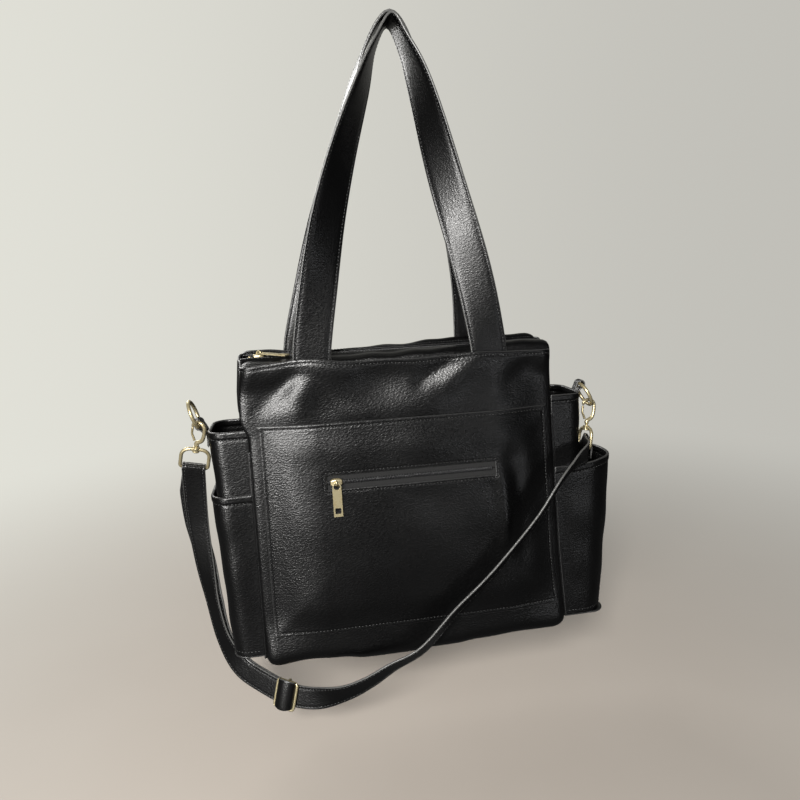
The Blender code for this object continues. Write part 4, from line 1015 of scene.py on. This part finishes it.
def flap(side):
    """A flap: a puffed curve from the panel to the zip, carried along it and rounded down at both ends.

    Its crest rises and falls along the bag. The front one has sunk where the slider lies.
    """
    line = follow(FLAP_LINE, 0.0014)
    run = measured(line)
    out, rise = line[:, :1], line[:, 1:]
    across = centred(2 * FLAP_HALF, FLAP_THICKNESS / 2, 0.0012, 0.005)
    near_end = np.clip((np.abs(across) - FLAP_HALF + FLAP_END) / FLAP_END, 0, 1)
    drop = FLAP_DROP * (1 - np.sqrt(1 - near_end ** 2))
    x = -side * across
    lift = soft_curve(x, *FLAP_CREST[side], 0.030) + FLAP_WAVE * np.sin(across * 151) - drop
    raised = ease((rise + 0.008) / 0.011) * ease((out - 0.0116) / 0.008)
    middle = joined(x, side * out, BAG_HEIGHT + rise + lift * raised + BASE_Z)
    shift = settle(middle) - middle
    shift[..., 2] *= (1 - ease(run / 0.016))[:, None]
    from_zip = run[-1] - run
    half = FLAP_THICKNESS / 2 - groove(from_zip[:, None], FLAP_STITCH, 0.0002)
    made = Sheet(middle + shift, across, run, half)
    return made.solid, sewn(made, nearest(from_zip, FLAP_STITCH), slice(6, -6), *FLAP_STITCHES)


def stop(side):
    """A clamped metal stop: a small rounded block over the coil's end."""
    share = np.linspace(-1, 1, 7)[:, None]
    bulge = 0.55 + 0.45 * np.sqrt(1 - 0.75 * share ** 2)
    ring = oblong(1.0, 1.0, 0.45, 4)
    rings = joined(side * STOP_PLACE + share * STOP_HALF[0], ring[:, 0] * STOP_HALF[1] * bulge,
                   STOP_HEIGHT + BASE_Z + ring[:, 1] * STOP_HALF[2] * bulge)
    return rings.reshape(-1, 3), loft_quads(len(rings), len(ring))


for word, side in (("front", -1), ("rear", 1)):
    flap_solid, flap_row = flap(side)
    piece(f"{word}_flap_leather", [flap_solid], bag_leather, "bag", f"{word}_zip_flap")
    piece(f"{word}_flap_thread", [flap_row], body_thread, "bag")
    strip = tape(TOP_TAPE, side, TOP_TAPE_REACH, ZIP_TOP, *np.eye(3))
    piece(f"{word}_top_tape", [strip], tape_weave, "bag", f"{word}_zip_tape")
piece("top_coil", [coil(TOP_COIL, ZIP_TOP, *np.eye(3))], teeth, "bag", "main_zip_coil")
for word, side in SIDES:
    piece(f"{word}_stop", [stop(side)], gold, "bag", f"main_zip_{word}_stop")
piece("top_slider", zip_slider(TOP_SLIDER_TURN, TOP_SLIDER, *np.eye(3)), gold, "main_zip_slider",
      "main_zip_slider")
bevelled("main_zip_pull", gold)

# Rings: welded rings of round brass wire, one through each tab. The strap clips on to
# them, and they turn in their tabs.

RING_RADIUS, WIRE = 0.0145, 0.002
RINGS = {
    "left": ((-0.22326, -0.00107, -0.38703), (-0.2924, 0.0, 0.9563), (0.0, 1.0, 0.0)),
    "right": ((0.22261, 0.0, -0.39631), (0.4384, 0.0, -0.8988), (0.0, 1.0, 0.0)),
}


def in_plane(line, origin, x_axis, y_axis):
    """Points of a flat line, put in the plane of two axes, and that plane's normal."""
    return np.array(origin) + line @ np.array([x_axis, y_axis]), np.cross(x_axis, y_axis)


for word, place in RINGS.items():
    ring, normal = in_plane(RING_RADIUS * circle(72), *place)
    piece(f"{word}_ring_wire", [wire(ring, WIRE, normal, True, 16)], gold, f"{word}_ring", f"{word}_ring")

# Clasps: a cast hook with a sprung gate hangs on each ring. The hook's pin turns in the
# barrel of a loop, and the shoulder strap is sewn round the loop's bar.

HOOK_HALF, HOOK_BIGHT, HOOK_BASE, PIN_END, NECK = 0.007, 0.0054, 0.020, 0.0315, 0.0252
HOOK_GIRTH = [0.0015, 0.0015, 0.0015, 0.0026, 0.0024, 0.0022, 0.0021] + [0.0020] * 9 + [0.0019, 0.0014]
GATE_GIRTH = [0.0008, 0.0012, 0.0013, 0.0012, 0.0013, 0.0014]
GATE_REACH, GATE_TURN = WIRE + 0.0014 + GAP, np.radians(32)
LOOP_HEIGHT, LOOP_HALF, LOOP_CORNER, BAR_CORNER = 0.0235, 0.0148, 0.0092, 0.003
BARREL_SHARE = np.array([-1, -0.98, -0.8, -0.62, 0.62, 0.8, 0.98, 1])
BARREL_GIRTH = np.array([0.0030, 0.0036, 0.0039, 0.0035, 0.0035, 0.0039, 0.0036, 0.0030])
BARREL_HALF = 0.003
HOOKS = {
    "left": ((-0.21916, -0.00483, -0.40043), (0.8804, -0.3386, -0.3319), (-0.2372, 0.2915, -0.9267)),
    "right": ((0.22896, 0.0, -0.40935), (0.9829, -0.0328, -0.181), (-0.184, -0.1752, -0.9672)),
}
LOOPS = {
    "left": ((-0.22592, 0.00348, -0.42684), (0.9715, 0.0712, -0.2263), (-0.2372, 0.2915, -0.9267)),
    "right": ((0.22372, -0.00499, -0.43691), (-0.0327, 0.9845, -0.1721), (-0.184, -0.1752, -0.9672)),
}


def cast(line, girth, step, around, place):
    """Wire of changing girth along a smooth flat line."""
    rows = follow(np.column_stack([line, np.zeros(len(line)), girth]), step)
    path, normal = in_plane(rows[:, :2], *place)
    return wire(path, rows[:, 3], normal, around=around)


def hook(place):
    """A cast hook: from the pin, over a collar and round the bight to the nose."""
    line = np.vstack([(0, PIN_END), (0, 0.0290), (0, NECK), (0, 0.0226), (0, HOOK_BASE),
                      (HOOK_HALF * 0.75, HOOK_BASE * 0.78), (HOOK_HALF, HOOK_BASE * 0.45),
                      arc(0, HOOK_HALF - HOOK_BIGHT, HOOK_HALF, 0, -np.pi, 11)])
    return cast(line, HOOK_GIRTH, 0.0010, 14, place)


def gate(place):
    """A sprung gate: a thin lever from its pivot at the hook's foot to just under the nose."""
    pivot = np.array([-GATE_REACH * np.cos(GATE_TURN), HOOK_BASE - GATE_REACH * np.sin(GATE_TURN)])
    nose = np.array([-HOOK_HALF, HOOK_HALF - HOOK_BIGHT + 0.0009])
    elbow = np.array([-HOOK_HALF, (nose[1] + pivot[1]) / 2])
    line = np.vstack([nose, nose + [0, 0.0004], nose + [0, 0.0012], elbow, (elbow + pivot) / 2, pivot])
    return cast(line, GATE_GIRTH, 0.0008, 10, place)


def strap_loop(place):
    """A D-shaped loop of wire, square at the strap's bar and round above, and its turned barrel."""
    half = np.vstack([
        arc(LOOP_HALF - LOOP_CORNER, LOOP_CORNER, LOOP_CORNER, -np.pi / 2, 0, 9),
        arc(LOOP_HALF - BAR_CORNER, LOOP_HEIGHT - BAR_CORNER, BAR_CORNER, 0, np.pi / 2, 6)])
    line, normal = in_plane(np.vstack([half, half[::-1] * [-1, 1]]), *place)
    barrel = np.array(place[0]) + BARREL_SHARE[:, None] * BARREL_HALF * np.array(place[2])
    return [wire(line, WIRE, normal, True, 14), wire(barrel, BARREL_GIRTH, normal, around=20)]


for word, place in HOOKS.items():
    piece(f"{word}_hook_metal", [hook(place)], gold, f"{word}_hook", f"{word}_hook")
    piece(f"{word}_gate_metal", [gate(place)], gold, f"{word}_gate", f"{word}_gate")
loops = [piece(f"{word}_loop_metal", strap_loop(place), gold, "strap", f"{word}_strap_loop")
         for word, place in LOOPS.items()]

# Shoulder strap: one long stitched strap. It runs from the right clasp across the front
# to the left clasp, and turns back there behind itself as far as the slider.

STRAP_WIDTH, STRAP_THICKNESS, STRAP_STITCH = 0.025, 0.0025, 0.0030
WRAP, LAYER_STEP, SEWN_TAIL = 0.00385, 0.0036, 0.012
GLIDE_SPOT = (-0.1479, -0.0480, -0.0485)
RETURN_STRAY = [0.000, 0.045, 0.090, 0.135, 0.175, 0.202], [0.0, 0.003, 0.0, -0.005, -0.006, 0.0]
BARS = {"left": np.array([-0.23149, 0.01033, 0.20538]), "right": np.array([0.21939, -0.00911, 0.19436])}
STRAP_ROUTE = [
    (0.2138, -0.0115, 0.2025, 0.30, -0.45, 0.80),
    (0.2120, -0.0260, 0.2005, 0.05, -0.15, 1.00),
    (0.2060, -0.0460, 0.2000, 0.00, -0.20, 0.98),
    (0.1900, -0.0580, 0.1965, -0.10, -0.50, 0.85),
    (0.1775, -0.0660, 0.1904, -0.18, -0.69, 0.70),
    (0.1603, -0.0750, 0.1770, -0.31, -0.77, 0.55),
    (0.1358, -0.0810, 0.1458, -0.42, -0.80, 0.44),
    (0.1076, -0.0825, 0.1132, -0.45, -0.78, 0.43),
    (0.0766, -0.0835, 0.0804, -0.44, -0.76, 0.48),
    (0.0422, -0.0850, 0.0500, -0.45, -0.74, 0.50),
    (0.0022, -0.0860, 0.0089, -0.45, -0.68, 0.58),
    (-0.0334, -0.0850, -0.0089, -0.43, -0.58, 0.69),
    (-0.0587, -0.0810, -0.0255, -0.52, -0.44, 0.73),
    (-0.0849, -0.0740, -0.0394, -0.44, -0.23, 0.87),
    (-0.1166, -0.0630, -0.0485, 0.05, 0.15, 0.97),
    (*GLIDE_SPOT, 0.20, 0.20, 0.95),
    (-0.1758, -0.0300, -0.0410, 0.20, 0.20, 0.95),
    (-0.2000, -0.0130, -0.0285, 0.55, -0.10, 0.80),
    (-0.2175, 0.0000, 0.0010, 0.62, -0.58, 0.48),
    (-0.2265, 0.0080, 0.0451, 0.68, -0.70, 0.15),
    (-0.2310, 0.0120, 0.0876, 0.85, -0.45, 0.05),
    (-0.2340, 0.0140, 0.1420, 0.95, -0.25, 0.00),
]


def round_bar(word, start, way=1):
    """Strap rows round a loop's bar, from behind it at 0 or before it at half a turn to its top.

    The strap's width runs along the bar, or against it where way is -1.
    """
    across, down = np.array(LOOPS[word][1]), np.array(LOOPS[word][2])
    angle = np.linspace(start, np.pi / 2, 5)[:, None]
    turned = np.cross(across, down) * np.cos(angle) - down * np.sin(angle)
    return np.column_stack([BARS[word] + WRAP * turned, np.tile(way * across, (5, 1))])


def cord_strap(name, middle, width_way, node):
    """A strap of shoulder-strap size, with its thread."""
    leather, rows = strap(middle, width_way, STRAP_WIDTH, STRAP_THICKNESS, STRAP_STITCH)
    made = piece(f"{name}_leather", [leather], strap_leather, "strap", node)
    return made, piece(f"{name}_thread", rows, strap_thread, "strap")


right_turn = round_bar("right", np.pi, -1)
left_turn = round_bar("left", np.pi)
tail = np.concatenate([right_turn[0, :3] + SEWN_TAIL * np.array(LOOPS["right"][2]), right_turn[0, 3:]])
run_middle, run_width = ribbon_rows(np.vstack([tail, right_turn, STRAP_ROUTE, left_turn]), 0.004)
lowered = run_middle + [0, 0, BASE_Z]
run_path = lowered[:-1]
run_strap, run_thread = cord_strap("strap_run", run_path, run_width[:-1], "shoulder_strap")

behind_way = np.cross(run_width, unit(np.gradient(run_middle, axis=0)))
glide = np.argmin(np.linalg.norm(run_middle - GLIDE_SPOT, axis=1))
turn_start = np.argmin(np.linalg.norm(run_middle - left_turn[0, :3], axis=1))
station = np.arange(glide + 1, turn_start)
layer = LAYER_STEP + (2 * WRAP - LAYER_STEP) * ease((station - turn_start + 15) / 15)
stray = np.interp(run_middle[station, 2], *RETURN_STRAY)[:, None]
back_turn = round_bar("left", 0)[:-1]
back_path = np.vstack([lowered[station] - layer[:, None] * behind_way[station] + stray * run_width[station],
                       back_turn[:, :3] + [0, 0, BASE_Z]])
back_width = np.vstack([run_width[station], back_turn[:, 3:]])
back_strap, back_thread = cord_strap("strap_back", back_path, back_width, "strap_return")

# Strap slider: a flat brass frame in front of the strap with a bar behind it that holds
# the turned-back end. The strap bulges where it is threaded through the frame.

GLIDE_PLACE = np.array([[-0.14934, -0.05077, -0.70161], [0.2318, 0.1851, 0.9550], [-0.8654, 0.4875, 0.1156],
                        [-0.4442, -0.8533, 0.2732]])
GLIDE_HALF, GLIDE_RUN, GLIDE_WIRE, GLIDE_BAR = 0.0148, 0.0120, 0.0015, 0.0013
GLIDE_DEPTH, GLIDE_CORNER = -0.0068, 0.0018
BULGE_WIDTH, BULGE_LEATHER, BULGE_SHIFT = 0.0276, 0.0020, 0.0016
BULGE_RUN, BULGE_FOOT, BULGE_RISE = 0.0098, -0.0022, 0.0100


def glide_frame():
    """A frame of round-cornered wire, and a bar bent back round the strap's edges."""
    ring = oblong(GLIDE_HALF, GLIDE_RUN, 0.003, 6)
    leg = [(-GLIDE_HALF, 0, 0), (-GLIDE_HALF, 0, -0.0022), (-GLIDE_HALF, 0, GLIDE_DEPTH + GLIDE_CORNER),
           (-GLIDE_HALF + GLIDE_CORNER, 0, GLIDE_DEPTH)]
    bent = follow(leg + [(0, 0, GLIDE_DEPTH)] + [(-x, y, z) for x, y, z in leg[::-1]], 0.0012)
    return [wire(placed(joined(*ring.T, 0), *GLIDE_PLACE), GLIDE_WIRE, GLIDE_PLACE[3], True, 12),
            wire(placed(bent, *GLIDE_PLACE), GLIDE_BAR, GLIDE_PLACE[2], around=12)]


def glide_loop():
    """The strap's bulge: an arch of leather through the frame, higher in its middle."""
    angle = np.linspace(-0.5 * np.pi, 0.5 * np.pi, 25)
    arch = np.stack([BULGE_RUN * np.sin(angle), BULGE_FOOT + BULGE_RISE * np.cos(angle) ** 0.7], -1)
    across = centred(BULGE_WIDTH, BULGE_LEATHER / 2, 0.0008, 0.0030)
    x = (across + BULGE_SHIFT) * (1 + 0.20 * np.cos(angle)[:, None])
    z = arch[:, 1:] * (1 - 0.06 * (2 * across / BULGE_WIDTH) ** 2)
    middle = placed(joined(x, arch[:, :1], z), *GLIDE_PLACE)
    return Sheet(middle, across, measured(arch), BULGE_LEATHER / 2).solid


glide_metal = piece("slider_frame", glide_frame(), gold, "strap", "strap_slider")
glide_bulge = piece("slider_strap_loop", [glide_loop()], strap_leather, "strap")

# Studio: a pale floor under the hanging bag, soft light from the upper left, and a
# camera at eye height in front of it, a little to the left.

FLOOR_Z = -0.775
FLOOR_RINGS = [0.25, 0.6, 1.2, 2.4, 4.8, 9.0]
CAMERA, CAMERA_TURNS = (-0.1088, -0.6792, -0.2499), ((-9.18, "Z"), (78.67, "X"), (-2.34, "Z"))
SENSOR, FOCAL_SHARE = 36.0, 620.7 / 800.0
BAG_MIDDLE, DAYLIGHT = (-0.03, -0.05, -0.42), (1.0, 0.985, 0.96)


def floor():
    """A level disc: rings of points that widen outwards, and a ladder of faces inside the first."""
    radius = np.array(FLOOR_RINGS)[:, None]
    rings = joined(*(radius * part for part in circle(48).T), FLOOR_Z)
    return rings.reshape(-1, 3), loft_quads(len(radius), 48)[:-23, ::-1]


def backdrop_light_and_shade(way):
    """The pale room behind the bag, painted lighter at the left and darker at the right: the painted light
    and shade of a wall lit from the left.
    """
    return way.ramp(-0.55, 0.75).between((0.76, 0.755, 0.69), (0.53, 0.52, 0.48))


floor_paint, place = finish("floor_paint")
spot = place.vector("MULTIPLY", (1.0, 1.0, 0.0))
far = spot.vector("LENGTH", out="Value").ramp(0.0, 1.6)
sight = spot.vector("SUBTRACT", (*CAMERA[:2], 0.0)).vector("NORMALIZE")
seen = place.add("LightPath", out="Is Camera Ray")
pale = spot.noise(6.0, 3.0).between((0.42, 0.375, 0.33), (0.45, 0.405, 0.36))
paint = place.add("BsdfPrincipled", {"Base Color": seen.between((0.05, 0.05, 0.05), pale), "Roughness": 0.8,
                                     "Specular IOR Level": 0.2})
# Far off, the floor glows for the camera with the backdrop's painted light and shade.
glow = place.add("Emission", {"Color": backdrop_light_and_shade(place.add("SeparateXYZ", {0: sight}, "X"))})
place.add("OutputMaterial", {"Surface": place.add("MixShader", {0: far * seen, 1: paint, 2: glow})})
piece("floor", [floor()], (floor_paint, None))

scene = bpy.context.scene
scene.world = bpy.data.worlds.new("studio")
scene.world.use_nodes = True
scene.world.node_tree.nodes.clear()
start = Shade(scene.world.node_tree)
seen = start.add("LightPath", out="Is Camera Ray")
way = start.add("SeparateXYZ", {0: start.add("TexCoord", out="Generated")}, "X")
behind = way.other("Y").ramp(0.0, 0.8)
shown = seen.maths("MAXIMUM", seen, seen.other("Is Transmission Ray"))
shown = shown.maths("MAXIMUM", shown, seen.other("Is Glossy Ray") * behind * 0.45)
# The backdrop seen by the camera carries the painted light and shade, lighter at the left and darker at the
# right.
backdrop = start.add("Background", {"Color": backdrop_light_and_shade(way), "Strength": 1.0})
room = start.add("Background", {"Color": (0.94, 0.97, 1.0), "Strength": 0.018})
start.add("OutputWorld", {"Surface": start.add("MixShader", {0: shown, 1: room, 2: backdrop})})
scene.view_settings.view_transform = "Standard"


def lamp(name, place, target, size, energy, tint):
    """A soft square light at a place, turned towards a target."""
    light = bpy.data.lights.new(name, "AREA")
    light.size = size
    light.energy = energy
    light.color = tint
    made = bpy.data.objects.new(name, light)
    made.location = place
    ahead = Vector(target) - Vector(place)
    made.rotation_euler = ahead.to_track_quat("-Z", "Y").to_euler()
    scene.collection.objects.link(made)


lamp("window", (-0.59, -1.60, 0.53), BAG_MIDDLE, 0.5, 52.0, DAYLIGHT)
lamp("side_window", (-1.19, -1.53, -0.16), BAG_MIDDLE, 0.4, 28.0, DAYLIGHT)
lamp("back_window", (-0.90, 1.54, 0.60), BAG_MIDDLE, 0.9, 20.0, (1.0, 0.99, 0.97))
lamp("fill", (0.89, -1.71, -0.50), (0.1, 0.0, -0.45), 0.35, 1.4, (0.97, 0.98, 1.0))

lens = bpy.data.cameras.new("camera")
lens.sensor_width = SENSOR
lens.lens = SENSOR * FOCAL_SHARE
camera = bpy.data.objects.new("camera", lens)
camera.location = CAMERA
turned = [Matrix.Rotation(np.radians(angle), 4, axis) for angle, axis in CAMERA_TURNS]
camera.rotation_euler = (turned[0] @ turned[1] @ turned[2]).to_euler()
scene.collection.objects.link(camera)
scene.camera = camera
